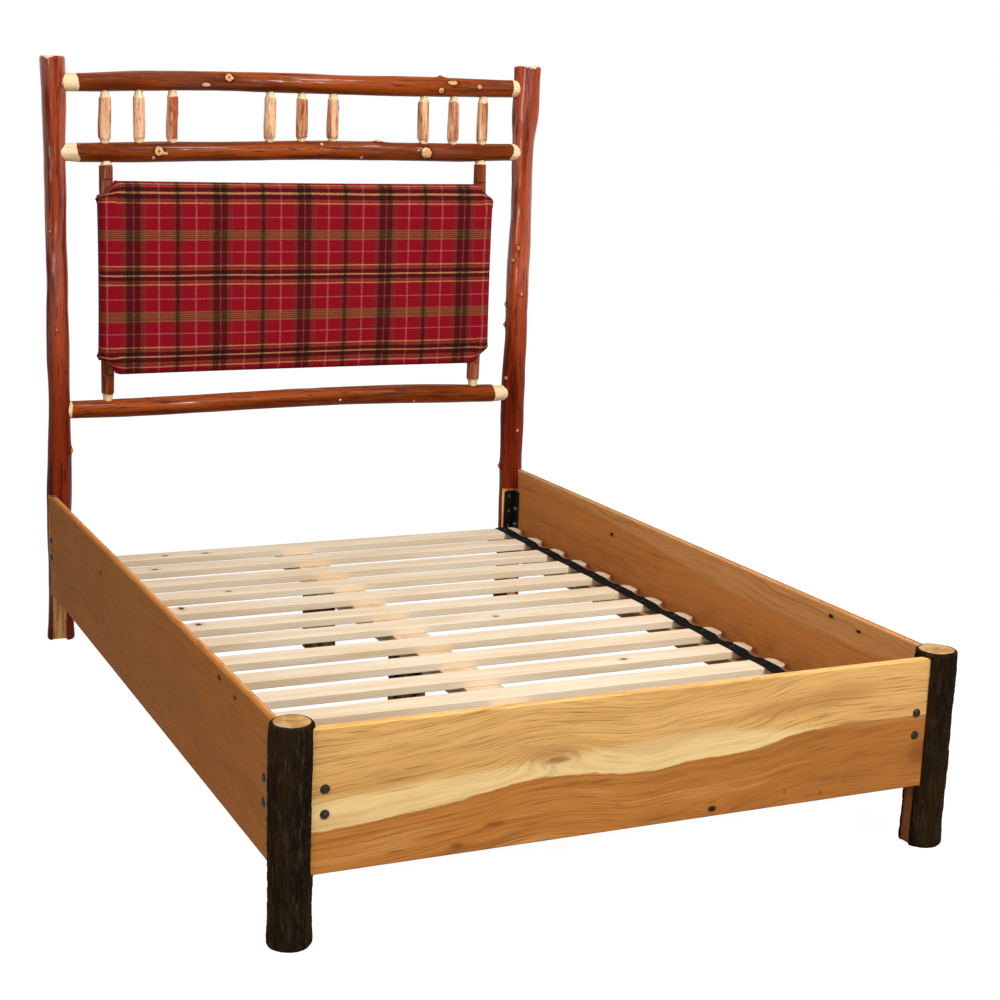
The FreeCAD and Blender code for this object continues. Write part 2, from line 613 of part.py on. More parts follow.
board = Part.Face(panel_outline(BOARD_FRONT, 0, 0)).extrude(
    Vector(0, PANEL_BOARD_THICKNESS, 0))
pocket = Part.Face(panel_outline(BOARD_FRONT, CLEARANCE, 0)).extrude(Vector(0, OVERRUN, 0))
front_edge = BOARD_FRONT - CUSHION_EDGE_DEPTH
cushion_sections = ((BOARD_BACK, CUSHION_WALL, CUSHION_DRAW_IN),
                    (BOARD_FRONT, CUSHION_WALL + CUSHION_SWELL, CUSHION_DRAW_IN),
                    (front_edge + CUSHION_ROLL, CUSHION_WALL + CUSHION_SWELL, CUSHION_DRAW_IN),
                    (front_edge + CUSHION_ROLL / 3, CUSHION_WALL - CUSHION_ROLL / 3,
                     CUSHION_DRAW_IN),
                    (front_edge, -CUSHION_ROLL, CUSHION_DRAW_IN),
                    (front_edge - CUSHION_CROWN * 2 / 3, -PANEL_HEIGHT / 6, CUSHION_DRAW_IN),
                    (front_edge - CUSHION_CROWN, -PANEL_HEIGHT / 3, CUSHION_DRAW_IN))
cushion = Part.makeLoft([panel_outline(y, grow, bend) for y, grow, bend in cushion_sections],
                        True, True)
pieces["panel_board"] = board
pieces["panel_cushion"] = cushion.cut(pocket)

panel_screw_shapes = []
screw_length = PANEL_BOARD_THICKNESS + STILE_FLAT_DISTANCE
for side, name in ((-1, "left"), (1, "right")):
    x = side * STILE_X
    bottom = LOWER_RAIL_HEIGHT + SHOULDER_GAP
    bottom += rail_surface(LOWER_RAIL_SHARES, LOWER_RAIL_BOW_SHARES, x)[0]
    top = upper_rail_height(SECOND_RAIL_HEIGHT, x) - SHOULDER_GAP
    top += rail_surface(SECOND_RAIL_SHARES, SECOND_RAIL_BOW_SHARES, x)[1]
    stile = tapered_upright(x, bottom, top, STILE_RADIUS, STILE_SHARES,
                            STILE_TENON_RADIUS, SPINDLE_TENON_DEPTH)
    hole = rod(STILE_TENON_RADIUS + CLEARANCE,
               Vector(x, HEAD_Y, bottom - SPINDLE_TENON_DEPTH - CLEARANCE),
               Vector(x, HEAD_Y, top + SPINDLE_TENON_DEPTH + CLEARANCE))
    for rail_name in ("headboard_second_rail", "headboard_lower_rail"):
        pieces[rail_name] = pieces[rail_name].cut(hole)
    reach = PANEL_HEIGHT / 2 + CUSHION_WALL + 2 * CUSHION_SWELL
    stile = stile.cut(box(x - OVERRUN, x + OVERRUN, BOARD_BACK - OVERRUN, BOARD_BACK,
                          PANEL_MIDDLE_HEIGHT - reach, PANEL_MIDDLE_HEIGHT + reach))
    for index in range(PANEL_SCREWS_PER_STILE):
        step = PANEL_HEIGHT / (PANEL_SCREWS_PER_STILE + 1)
        z = PANEL_MIDDLE_HEIGHT - PANEL_HEIGHT / 2 + step * (index + 1)
        seat = Vector(x, HEAD_Y + STILE_RADIUS / 2, z)
        length = STILE_RADIUS / 2 + STILE_FLAT_DISTANCE + PANEL_SCREW_REACH
        panel_screw_shapes.append(screw(seat, (0, -1, 0), length))
        pilot = rod(SCREW_PILOT, seat, seat - Vector(0, length + CLEARANCE, 0))
        counterbore = rod(SCREW_HEAD_RADIUS + CLEARANCE, seat, seat + Vector(0, OVERRUN, 0))
        stile = stile.cut(pilot).cut(counterbore)
        pieces["panel_board"] = pieces["panel_board"].cut(pilot)
    pieces["panel_stile_" + name] = stile
pieces["panel_screws"] = group(panel_screw_shapes)

# Ledgers along the side rails, held by long screws from their inner edges

ledger_start = FOOT_Y + FOOT_POST_RADIUS + LEDGER_END_GAP
ledger_end = RAIL_END - LEDGER_END_GAP
ledger_screw_length = LEDGER_WIDTH + LEDGER_SCREW_BITE
ledger_screw_shapes = []
for side, name in ((-1, "left"), (1, "right")):
    ledger = box(INNER_HALF - LEDGER_WIDTH, INNER_HALF, ledger_start, ledger_end,
                 LEDGER_TOP - LEDGER_THICKNESS, LEDGER_TOP)
    if side < 0:
        ledger = mirrored(ledger, across_x=True)
    rail_name = "side_rail_" + name
    step = (ledger_end - ledger_start) / LEDGER_SCREWS_PER_SIDE
    for index in range(LEDGER_SCREWS_PER_SIDE):
        y = ledger_start + step * (index + 1 / 2)
        z = LEDGER_TOP - LEDGER_THICKNESS / 2
        seat = Vector(side * (INNER_HALF - LEDGER_WIDTH), y, z)
        ledger_screw_shapes.append(screw(seat, (side, 0, 0), ledger_screw_length))
        pilot_end = seat + Vector(side * (ledger_screw_length + CLEARANCE), 0, 0)
        pilot = rod(SCREW_PILOT, seat, pilot_end)
        ledger = ledger.cut(pilot)
        pieces[rail_name] = pieces[rail_name].cut(pilot)
    pieces["ledger_" + name] = ledger
pieces["ledger_screws"] = group(ledger_screw_shapes)

# Centre beam on a cleat and two log legs

beam_left = BEAM_SHIFT - BEAM_WIDTH / 2
beam_right = BEAM_SHIFT + BEAM_WIDTH / 2
beam = box(beam_left, beam_right, PLANK_THICKNESS, BEAM_END, BEAM_BOTTOM, LEDGER_TOP)
cleat = box(beam_left, beam_right, PLANK_THICKNESS, PLANK_THICKNESS + CLEAT_DEPTH,
            BEAM_BOTTOM - CLEAT_HEIGHT, BEAM_BOTTOM)
beam_screw_shapes = []
sink = 2 * SCREW_HEAD_HEIGHT


def sunk_screw(x, y, top, length):
    """Upright screw with its head sunk below the top face, with its hole."""
    seat = Vector(x, y, top - sink)
    pilot = rod(SCREW_PILOT, seat, seat - Vector(0, 0, length + CLEARANCE))
    counterbore = rod(SCREW_HEAD_RADIUS + CLEARANCE, seat, Vector(x, y, top + OVERRUN))
    return screw(seat, (0, 0, -1), length), pilot.fuse(counterbore)


for name, place_share in (("centre_leg_front", FRONT_LEG_SHARE),
                          ("centre_leg_back", BACK_LEG_SHARE)):
    place = place_share * RAIL_END
    leg = upright_log(Vector(BEAM_SHIFT, place, 0), BEAM_BOTTOM, LEG_RADIUS, LEG_RADIUS_SHARES)
    for across in SIDES:
        shape, hole = sunk_screw(BEAM_SHIFT + across * LEG_RADIUS / 2, place, LEDGER_TOP,
                                 BEAM_SCREW_LENGTH)
        beam_screw_shapes.append(shape)
        beam = beam.cut(hole)
        leg = leg.cut(hole)
    pieces[name] = leg
for across in SIDES:
    shape, hole = sunk_screw(BEAM_SHIFT + across * BEAM_WIDTH / 4,
                             PLANK_THICKNESS + CLEAT_DEPTH / 2, LEDGER_TOP, BEAM_SCREW_LENGTH)
    beam_screw_shapes.append(shape)
    beam = beam.cut(hole)
    cleat = cleat.cut(hole)
    seat = Vector(BEAM_SHIFT + across * BEAM_WIDTH * 3 / 8, PLANK_THICKNESS + CLEAT_DEPTH,
                  BEAM_BOTTOM - CLEAT_HEIGHT / 2)
    length = CLEAT_DEPTH + PLANK_THICKNESS * 3 / 4
    beam_screw_shapes.append(screw(seat, (0, -1, 0), length))
    pilot = rod(SCREW_PILOT, seat, seat - Vector(0, length + CLEARANCE, 0))
    cleat = cleat.cut(pilot)
    footboard = footboard.cut(pilot)
pieces["footboard_plank"] = footboard
pieces["centre_beam"] = beam
pieces["beam_cleat"] = cleat
pieces["beam_screws"] = group(beam_screw_shapes)

# Slats with clipped corners, spread between the corner brackets and joined by two lengths of
# webbing stapled to their tops

slat_half = INNER_HALF - SLAT_END_GAP
strap_x = slat_half - STRAP_FROM_END - STRAP_WIDTH / 2
first_slat = RAIL_END - BRACKET_LEG - SLAT_WIDTH / 2
last_slat = FOOT_Y + FOOT_FLAT_DISTANCE + BRACKET_LEG + SLAT_WIDTH / 2
slat_pitch = (first_slat - last_slat) / (SLAT_COUNT - 1)
slat_places = []
for index in range(SLAT_COUNT):
    shift_share = SLAT_SHIFT_SHARES[index % len(SLAT_SHIFT_SHARES)]
    slat_places.append(first_slat - slat_pitch * (index - shift_share))


def draw_slat(y):
    half = SLAT_WIDTH / 2
    outline = [(-slat_half, -half + SLAT_CORNER), (-slat_half + SLAT_CORNER, -half),
               (slat_half - SLAT_CORNER, -half), (slat_half, -half + SLAT_CORNER),
               (slat_half, half - SLAT_CORNER), (slat_half - SLAT_CORNER, half),
               (-slat_half + SLAT_CORNER, half), (-slat_half, half - SLAT_CORNER)]
    points = [Vector(x, y + across, LEDGER_TOP) for x, across in outline + outline[:1]]
    board = Part.Face(Part.makePolygon(points)).extrude(Vector(0, 0, SLAT_THICKNESS))
    long_edges = [edge for edge in board.Edges if edge.BoundBox.XLength > slat_half]
    return board.makeFillet(SLAT_EDGE_RADIUS, long_edges)


def draw_staple(x, y):
    """Wire staple across the webbing, with its two legs down into the slat."""
    crown_bottom = SLAT_TOP + STRAP_THICKNESS
    wire = STAPLE_WIRE
    half = STAPLE_CROWN / 2
    shape = box(x - half, x + half, y - wire / 2, y + wire / 2, crown_bottom,
                crown_bottom + wire)
    holes = []
    for across in SIDES:
        leg_x = x + across * (half - wire / 2)
        leg = box(leg_x - wire / 2, leg_x + wire / 2, y - wire / 2, y + wire / 2,
                  crown_bottom - STAPLE_LEG, crown_bottom)
        shape = shape.fuse(leg)
        holes.append(box(leg_x - wire / 2 - CLEARANCE, leg_x + wire / 2 + CLEARANCE,
                         y - wire / 2 - CLEARANCE, y + wire / 2 + CLEARANCE,
                         crown_bottom - STAPLE_LEG - CLEARANCE, crown_bottom + wire))
    return shape.removeSplitter(), holes


strap_start = slat_places[-1] - SLAT_WIDTH / 2
strap_end = slat_places[0] + SLAT_WIDTH / 2
straps = {}
for side, name in ((-1, "left"), (1, "right")):
    straps[name] = box(side * strap_x - STRAP_WIDTH / 2, side * strap_x + STRAP_WIDTH / 2,
                       strap_start, strap_end, SLAT_TOP, SLAT_TOP + STRAP_THICKNESS)
staple_shapes = []
for index, y in enumerate(slat_places):
    slat = draw_slat(y)
    for side, name in ((-1, "left"), (1, "right")):
        shape, holes = draw_staple(side * strap_x, y)
        staple_shapes.append(shape)
        for hole in holes:
            slat = slat.cut(hole)
            straps[name] = straps[name].cut(hole)
    pieces["slat_%02d" % (index + 1)] = slat
pieces["slat_strap_left"] = straps["left"]
pieces["slat_strap_right"] = straps["right"]
pieces["strap_staples"] = group(staple_shapes)

# The origin goes on the floor at the middle of the footprint

FOOTPRINT = [pieces[name] for name in ("foot_post_left", "foot_post_right", "head_post_left",
                                       "head_post_right")]
reaches = [shape.optimalBoundingBox(False, False) for shape in FOOTPRINT]
middle_x = (min(r.XMin for r in reaches) + max(r.XMax for r in reaches)) / 2
middle_y = (min(r.YMin for r in reaches) + max(r.YMax for r in reaches)) / 2
shift = Vector(-middle_x, -middle_y, 0)

os.makedirs("parts", exist_ok=True)
for name, shape in pieces.items():
    shape.translate(shift)
    shape.exportStep(os.path.join("parts", name + ".step"))
    print(name, "solids", len(shape.Solids), "valid", shape.isValid(),
          "volume cm3", round(shape.Volume / 1000, 1))
print("pieces", len(pieces), "shift", shift)
print("deck height", SLAT_TOP, "plank top", PLANK_TOP, "slat middles",
      [round(y + shift.y, 2) for y in slat_places])
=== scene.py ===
"""Rustic log bed: peeled-log headboard, plaid panel, plank rails, bark foot posts and a slatted deck."""
import math

import bmesh
import bpy
import numpy as np
from bpy.props import FloatProperty, FloatVectorProperty, PointerProperty
from mathutils import Matrix, Vector


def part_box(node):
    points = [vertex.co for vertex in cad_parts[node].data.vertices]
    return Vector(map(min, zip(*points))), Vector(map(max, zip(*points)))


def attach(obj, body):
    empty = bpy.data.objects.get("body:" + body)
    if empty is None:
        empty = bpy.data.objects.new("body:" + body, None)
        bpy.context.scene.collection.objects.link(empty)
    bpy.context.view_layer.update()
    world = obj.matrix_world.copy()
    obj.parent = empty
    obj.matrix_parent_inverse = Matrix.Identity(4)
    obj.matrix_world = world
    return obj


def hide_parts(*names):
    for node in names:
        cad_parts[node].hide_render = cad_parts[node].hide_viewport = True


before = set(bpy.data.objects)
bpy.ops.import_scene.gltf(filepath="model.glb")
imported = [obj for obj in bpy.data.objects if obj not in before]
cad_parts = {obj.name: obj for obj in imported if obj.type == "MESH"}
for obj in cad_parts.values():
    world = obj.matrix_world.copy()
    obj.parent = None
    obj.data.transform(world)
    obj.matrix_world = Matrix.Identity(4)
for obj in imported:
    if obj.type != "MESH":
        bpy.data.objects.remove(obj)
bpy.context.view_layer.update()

bl_info = {
    "name": "Rustic Log Bed",
    "version": (1, 0, 0),
    "blender": (4, 5, 0),
    "location": "View3D > Sidebar > Log Bed",
    "description": "Builds a rustic log bed piece by piece and finishes its woods, cloth and metal",
    "category": "Object",
}

# Places of the pieces, in metres
HEAD_X = 0.685
HEAD_Y = 0.97841
FOOT_X = 0.691
FOOT_Y = -0.97609
RAIL_LEVELS = {"top": 1.515, "second": 1.335, "lower": 0.638}
UPPER_RAIL_RISE = 0.020
PLANK_TOP = 0.405
PLANK_BOTTOM = 0.133
PLANK_HEIGHT = PLANK_TOP - PLANK_BOTTOM
RAIL_FOOT_REACH = 0.946
RAIL_LENGTH = 1.911
RAIL_OUTER_FACE = 0.714
FOOTBOARD_HALF = 0.661
FOOTBOARD_OUTER_FACE = 0.99909
SLAT_COUNT = 14
SLAT_TOP = 0.234
PANEL_HEIGHT = 0.995
PANEL_BACK = 0.96591

# Places of the bolts
HEAD_BOLTS_Y = 0.94691
FOOT_BOLTS_Y = -0.89509
FOOTBOARD_BOLTS_X = 0.636
RAIL_BOLT_LEVELS = (0.2855, 0.2385)
FOOTBOARD_BOLT_LEVELS = (0.2925, 0.2455)

# Flats that are cut into the logs: the planks' seats, and the grooves below them
SEAT_LOW = 0.131
SEAT_HIGH = 0.407
HEAD_SEAT_Y = 0.96491
HEAD_SEAT_X = (0.601, 0.6947, 0.755)
HEAD_INNER_SEAT_HIGH = 0.349
HEAD_GROOVE_X = (0.674, 0.712)
FOOT_SEAT_X = (0.60, 0.661)
FOOT_SEAT_Y = -0.94609
FOOT_GROOVE_X = (0.672, 0.702)
FOOT_GROOVE_Y = (FOOT_Y + 0.004 - 0.015, FOOT_Y + 0.004 + 0.015)
FAR = 2
BELOW_FLOOR = -1

# Shape of each log: share of its length, share of its radius, drift or bow as shares of the radius.
# A knot is its place along the log, its turn round it, its radius, its rise and, if it is long, its stretch.
HEAD_POSTS = {
    "left": dict(
        height=1.572,
        shape=((0, 1.24), (0.05, 1.10), (0.12, 1.03), (0.28, 1.04), (0.38, 0.96), (0.5, 0.90), (0.62, 0.86),
               (0.75, 0.87), (0.88, 0.92), (0.95, 0.97), (1, 1.02)),
        drift=((0, 0), (0.28, 0.02), (0.38, 0.10), (0.5, 0.08), (0.62, 0.04), (0.75, 0.06), (0.88, 0),
               (1, -0.08)),
        knots=((0.529, 0.93, 0.009, 0.0045), (1.50, 0.85, 0.004, 0.004), (0.86, 0.70, 0.004, 0.002),
               (1.12, 0.62, 0.004, 0.002), (1.30, 0.28, 0.008, 0.004), (0.70, 0.22, 0.007, 0.004)),
        seed=11),
    "right": dict(
        height=1.590,
        shape=((0, 1.22), (0.05, 1.10), (0.12, 1.04), (0.28, 1.03), (0.42, 1.10), (0.5, 1.02), (0.62, 1.05),
               (0.72, 0.95), (0.82, 0.97), (0.87, 0.99), (0.905, 1.17), (0.96, 1.20), (1, 1.24)),
        drift=((0, 0), (0.28, 0), (0.42, -0.10), (0.5, -0.04), (0.62, -0.02), (0.75, 0.08), (0.86, 0.00),
               (0.92, 0.12), (1, 0.12)),
        knots=((1.034, 0.60, 0.006, 0.0035), (0.903, 0.50, 0.006, 0.005), (0.934, 0.74, 0.005, 0.003),
               (0.842, 0.49, 0.006, 0.006), (0.685, 0.58, 0.006, 0.003), (0.528, 0.76, 0.005, 0.003),
               (0.415, 0.49, 0.007, 0.006), (1.07, 0.66, 0.004, 0.003, 2.2), (1.21, 0.25, 0.008, 0.004),
               (0.60, 0.18, 0.007, 0.004)),
        seed=12),
}
HEADBOARD_RAILS = {
    "top": dict(
        shape=((0, 0.93), (0.12, 1.0), (0.30, 0.98), (0.45, 1.03), (0.62, 1.0), (0.82, 1.05), (1, 0.94)),
        bow=((0, 0), (0.12, 0.22), (0.30, 0.34), (0.45, 0.28), (0.62, 0.16), (0.82, 0.10), (1, 0)),
        knots=((-0.216, 0.061, 0.012, 0.0025), (-0.280, -0.067, 0.0065, 0.001, 1.9),
               (0.415, 0.23, 0.007, 0.005), (0.444, 0.073, 0.006, 0.002, 2.8),
               (0.407, -0.057, 0.008, 0.002), (0.527, 0.022, 0.007, 0.002),
               (0.10, 0.45, 0.008, 0.003), (-0.45, 0.55, 0.007, 0.003)),
        bare=(0.0, -0.012), seed=21),
    "second": dict(
        shape=((0, 0.95), (0.10, 1.05), (0.32, 1.0), (0.55, 1.02), (0.75, 0.98), (0.90, 1.0), (1, 0.92)),
        bow=((0, 0), (0.10, 0.02), (0.32, 0.10), (0.55, 0.24), (0.75, 0.06), (0.90, -0.04), (1, 0)),
        knots=((-0.411, 0.015, 0.012, 0.0025), (-0.395, -0.02, 0.004, 0.001, 2.6),
               (-0.425, -0.085, 0.005, 0.0015), (0.054, 0.102, 0.005, 0.0015),
               (0.367, -0.009, 0.015, 0.003, 1.12), (0.228, 0.22, 0.008, 0.004, 1.5),
               (0.171, -0.115, 0.005, 0.002), (0.05, 0.52, 0.008, 0.003), (-0.20, 0.45, 0.006, 0.002)),
        bare=(0.0, -0.016), seed=22),
    "lower": dict(
        shape=((0, 0.94), (0.15, 0.99), (0.35, 0.97), (0.60, 1.0), (0.80, 1.06), (1, 0.98)),
        bow=((0, 0), (0.15, 0.04), (0.35, 0.22), (0.60, 0.40), (0.80, 0.28), (1, 0)),
        knots=((-0.43, 0.20, 0.004, 0.002), (0.12, -0.05, 0.004, 0.0015), (0.35, -0.10, 0.004, 0.002),
               (0.30, 0.48, 0.008, 0.003)),
        bare=(-0.024, 0.014), seed=23),
}
SPINDLE_SHAPE = ((0, 0.95), (0.35, 1.03), (0.7, 0.98), (1, 0.95))
STILE_SHAPE = ((0, 0.94), (0.2, 1.0), (0.5, 0.97), (0.8, 1.02), (1, 0.96))
FOOT_SHAPE = ((0, 1.0), (0.06, 0.98), (0.30, 0.96), (0.65, 0.97), (0.92, 0.99), (1, 0.97))
LEG_SHAPE = ((0, 1.0), (0.3, 0.97), (0.7, 0.98), (1, 1.0))

# Lines across the planks, as shares of their length and height: the footboard's heartwood line, the top of
# its pale wedge, and the lower edge of the pale band along the side rails
HEARTWOOD_LINE = ((0, 0.29), (0.16, 0.35), (0.25, 0.405), (0.32, 0.46), (0.404, 0.456), (0.507, 0.408),
                  (0.575, 0.437), (0.69, 0.47), (0.77, 0.548), (1, 0.563))
WEDGE_TOP = ((0, 0.50), (0.156, 0.544), (0.275, 0.577), (0.45, 0.62), (0.62, 0.66), (0.75, 0.58), (1, 0.56))
PALE_BAND = ((0, 0.93), (0.05, 0.81), (0.24, 0.735), (0.45, 0.77), (0.61, 0.852), (0.85, 0.93), (1, 0.935))

# Knots of the planks: place along and up, half width, half height, and how far they lift the grain
# In the footboard's list, the entry at 0.640, 0.200 lifts no grain: its darker surround is painted shade
# beside the right foot post
FOOTBOARD_KNOTS_AND_POST_SHADE = (
    (0.163, 0.149, 0.011, 0.008, 0.016), (0.640, 0.200, 0.030, 0.018, 0.0),
    (-0.180, 0.301, 0.036, 0.0115, -0.046), (0.330, 0.336, 0.060, 0.010, -0.014),
    (0.454, 0.360, 0.050, 0.010, 0.0), (0.252, 0.150, 0.030, 0.010, -0.010),
    (-0.378, 0.150, 0.012, 0.005, -0.008), (-0.302, 0.182, 0.014, 0.006, -0.008))
# Dark marks of the footboard, with the same columns: the first is painted shade beside the right foot post,
# the rest are small stains and cracks
FOOTBOARD_STAINS_AND_POST_SHADE = (
    (0.654, 0.205, 0.017, 0.013, 0.0), (-0.378, 0.150, 0.007, 0.0030, 0.0),
    (-0.302, 0.182, 0.010, 0.0022, 0.0), (-0.500, 0.156, 0.009, 0.0014, 0.0),
    (0.415, 0.150, 0.0018, 0.0030, 0.0), (-0.180, 0.290, 0.014, 0.0030, 0.0),
    (0.330, 0.163, 0.0018, 0.0030, 0.0), (-0.085, 0.238, 0.012, 0.0016, 0.0))
SIDE_RAIL_KNOTS = (
    (0.366, 0.342, 0.010, 0.006, 0.012), (-0.30, 0.25, 0.16, 0.030, -0.040),
    (-0.62, 0.385, 0.012, 0.006, 0.008), (-0.72, 0.378, 0.010, 0.005, 0.006),
    (0.55, 0.24, 0.20, 0.030, -0.035), (-0.80, 0.22, 0.10, 0.020, -0.02))
SLAT_KNOTS = (
    (-0.411, 0.893, 0.010, 0.006, 0.006), (-0.297, 0.890, 0.012, 0.006, 0.006),
    (-0.476, 0.757, 0.012, 0.006, 0.006), (-0.353, 0.490, 0.009, 0.005, 0.005),
    (-0.511, 0.372, 0.008, 0.014, 0.006), (-0.509, 0.226, 0.010, 0.010, 0.006),
    (0.21, 0.075, 0.008, 0.006, 0.004), (0.34, -0.335, 0.010, 0.006, 0.005))


def srgb(red, green, blue):
    """Linear colour of a colour picked on a screen, 0 to 255 each."""
    def one(value):
        value /= 255
        return value / 12.92 if value <= 0.04045 else ((value + 0.055) / 1.055) ** 2.4
    return one(red), one(green), one(blue)


def length_prop(label, words, value):
    return FloatProperty(name=label, description=words, default=value, min=0.0, unit="LENGTH", precision=4)


def colour_prop(label, words, red, green, blue):
    return FloatVectorProperty(name=label, description=words, subtype="COLOR", size=3, min=0.0, max=1.0,
                               default=srgb(red, green, blue))


class LogBedSizes(bpy.types.PropertyGroup):
    head_post_radius: length_prop("Head Post Radius", "Radius that the head posts' shares multiply", 0.032)
    rail_radius: length_prop("Rail Radius", "Radius of the three headboard rails", 0.026)
    rail_body: length_prop("Rail Body", "Half the length of a rail between its whittled ends", 0.625)
    rail_tenon: length_prop("Rail Tenon", "Radius of a rail's round tenon", 0.023)
    spindle_radius: length_prop("Spindle Radius", "Radius of the nine spindles", 0.016)
    spindle_tenon: length_prop("Spindle Tenon", "Radius of a spindle's tenon", 0.010)
    stile_radius: length_prop("Stile Radius", "Radius of the two stiles that carry the panel", 0.0185)
    stile_tenon: length_prop("Stile Tenon", "Radius of a stile's tenon", 0.012)
    foot_post_radius: length_prop("Foot Post Radius", "Radius of the foot posts with their bark", 0.042)
    foot_post_height: length_prop("Foot Post Height", "Height of the foot posts", 0.416)
    leg_radius: length_prop("Centre Leg Radius", "Radius of the two legs below the beam", 0.046)
    leg_height: length_prop("Centre Leg Height", "Height of the two legs below the beam", 0.177)
    bark_ridge: length_prop("Bark Ridge", "How far the bark's ridges stand out", 0.0016)
    panel_half_width: length_prop("Panel Half Width", "Half the width of the covered panel", 0.5775)
    panel_half_height: length_prop("Panel Half Height", "Half the height of the covered panel", 0.2585)
    panel_corner_along: length_prop("Corner Cut Across", "Width of a clipped corner", 0.050)
    panel_corner_up: length_prop("Corner Cut Up", "Height of a clipped corner", 0.044)
    panel_front: length_prop("Panel Front", "Place of the padded front at its crown", 0.9165)
    sett_width: length_prop("Plaid Width", "Width of one repeat of the plaid", 0.241)
    sett_height: length_prop("Plaid Height", "Height of one repeat of the plaid", 0.219)
    strap_width: length_prop("Webbing Width", "Width of the webbing on the slats", 0.036)
    strap_sag: length_prop("Webbing Sag", "How far the webbing drops between two slats", 0.0045)


class LogBedColours(bpy.types.PropertyGroup):
    rail_light: colour_prop("Rail Light", "Lighter tone of the headboard rails", 154, 68, 15)
    rail_dark: colour_prop("Rail Dark", "Darker tone of the headboard rails", 112, 46, 9)
    post_light: colour_prop("Post Light", "Lighter tone of the head posts", 184, 80, 40)
    post_dark: colour_prop("Post Dark", "Darker tone of the head posts", 114, 34, 12)
    streak: colour_prop("Streak", "Dark streaks along the peeled logs", 66, 20, 8)
    spindle_light: colour_prop("Spindle Light", "Light tone of the spindles", 246, 194, 150)
    spindle_dark: colour_prop("Spindle Dark", "Red-brown patches of the spindles", 166, 82, 42)
    pale_wood: colour_prop("Pale Wood", "Whittled and sawn wood", 242, 214, 172)
    bark: colour_prop("Bark", "Bark of the foot posts", 48, 34, 18)
    bark_flecks: colour_prop("Bark Flecks", "Weathered tops of the bark's ridges", 84, 66, 44)
    plank_gold: colour_prop("Plank Gold", "Golden upper part of the footboard", 242, 188, 112)
    plank_sapwood: colour_prop("Plank Sapwood", "Bright wedge of the footboard", 255, 218, 150)
    plank_heartwood: colour_prop("Plank Heartwood", "Brown lower part of the footboard", 206, 133, 62)
    rail_plank: colour_prop("Side Plank", "Side rails", 178, 110, 52)
    slat: colour_prop("Slat", "Pine of the slats", 240, 222, 194)
    ledger: colour_prop("Ledger", "Ledgers under the slats", 176, 136, 92)
    cloth_ground: colour_prop("Cloth Ground", "Red ground of the plaid", 132, 4, 24)
    cloth_dark: colour_prop("Cloth Dark", "Near-black bands of the plaid", 26, 14, 10)
    cloth_brown: colour_prop("Cloth Brown", "Brown bands of the plaid", 82, 40, 24)
    cloth_gold: colour_prop("Cloth Gold", "Gold lines of the plaid", 206, 156, 104)


def sizes():
    return bpy.context.scene.log_bed_sizes


def colours():
    return bpy.context.scene.log_bed_colours


# ---------------------------------------------------------------- shape helpers

def smooth_line(place, stations):
    """Height of a smooth line through the stations."""
    xs = np.array([s[0] for s in stations], float)
    ys = np.array([s[1] for s in stations], float)
    slopes = np.gradient(ys, xs)
    index = np.clip(np.searchsorted(xs, place) - 1, 0, len(xs) - 2)
    gap = xs[index + 1] - xs[index]
    t = np.clip((place - xs[index]) / gap, 0, 1)
    return ((1 + 2 * t) * (1 - t) ** 2 * ys[index] + t * (1 - t) ** 2 * gap * slopes[index]
            + t * t * (3 - 2 * t) * ys[index + 1] + t * t * (t - 1) * gap * slopes[index + 1])


def ease(value):
    value = np.clip(value, 0, 1)
    return value * value * (3 - 2 * value)


def lumps(turn, along, cells, pitch, seed):
    """Smooth random heights from -1 to 1 over a log, which meet round it."""
    rows = int(along.max() / pitch) + 3
    table = np.random.default_rng(seed).uniform(-1, 1, (rows, cells))
    u = (turn % 1) * cells
    v = np.clip(along / pitch, 0, rows - 2)
    column = u.astype(int)
    row = v.astype(int)
    across = ease(u - column)
    up = ease(v - row)
    column %= cells
    beside = (column + 1) % cells
    above = np.minimum(row + 1, rows - 1)
    low = table[row, column] * (1 - across) + table[row, beside] * across
    high = table[above, column] * (1 - across) + table[above, beside] * across
    return low * (1 - up) + high * up


def turned(turn):
    """A turn round the log as the shorter way from its start, -0.5 to 0.5."""
    return (turn + 0.5) % 1 - 0.5


def move_points(bm, x, y, z):
    for vertex, spot in zip(bm.verts, np.stack((x, y, z), axis=1)):
        vertex.co = spot


def finished(bm, name, body, material, node, angle=50):
    """Makes an object of a bmesh, hangs it on the empty of the body it rides on, and hides the CAD node it
    stands for.
    """
    mesh = bpy.data.meshes.new(name)
    bm.to_mesh(mesh)
    bm.free()
    piece = bpy.data.objects.new(name, mesh)
    bpy.context.scene.collection.objects.link(piece)
    mesh.polygons.foreach_set("use_smooth", [True] * len(mesh.polygons))
    if angle:
        mesh.set_sharp_from_angle(angle=math.radians(angle))
    mesh.materials.append(material)
    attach(piece, body)
    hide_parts(node)
    return piece


def raw_log(sides, rings):
    """A unit log: wall in even rings, and ends in rings that close at a middle point."""
    cap_rings = 8
    bm = bmesh.new()
    bmesh.ops.create_cone(bm, cap_ends=True, cap_tris=False, segments=sides, radius1=1, radius2=1, depth=1)
    wall = [e for e in bm.edges if abs(e.verts[0].co.z - e.verts[1].co.z) > 0.5]
    bmesh.ops.subdivide_edges(bm, edges=wall, cuts=rings, use_grid_fill=False)
    caps = [f for f in bm.faces if abs(f.normal.z) > 0.5]
    for cap in caps:
        for _ in range(cap_rings):
            bmesh.ops.inset_region(bm, faces=[cap], thickness=0.9 / cap_rings, use_even_offset=True)
    bmesh.ops.poke(bm, faces=caps)
    return bm


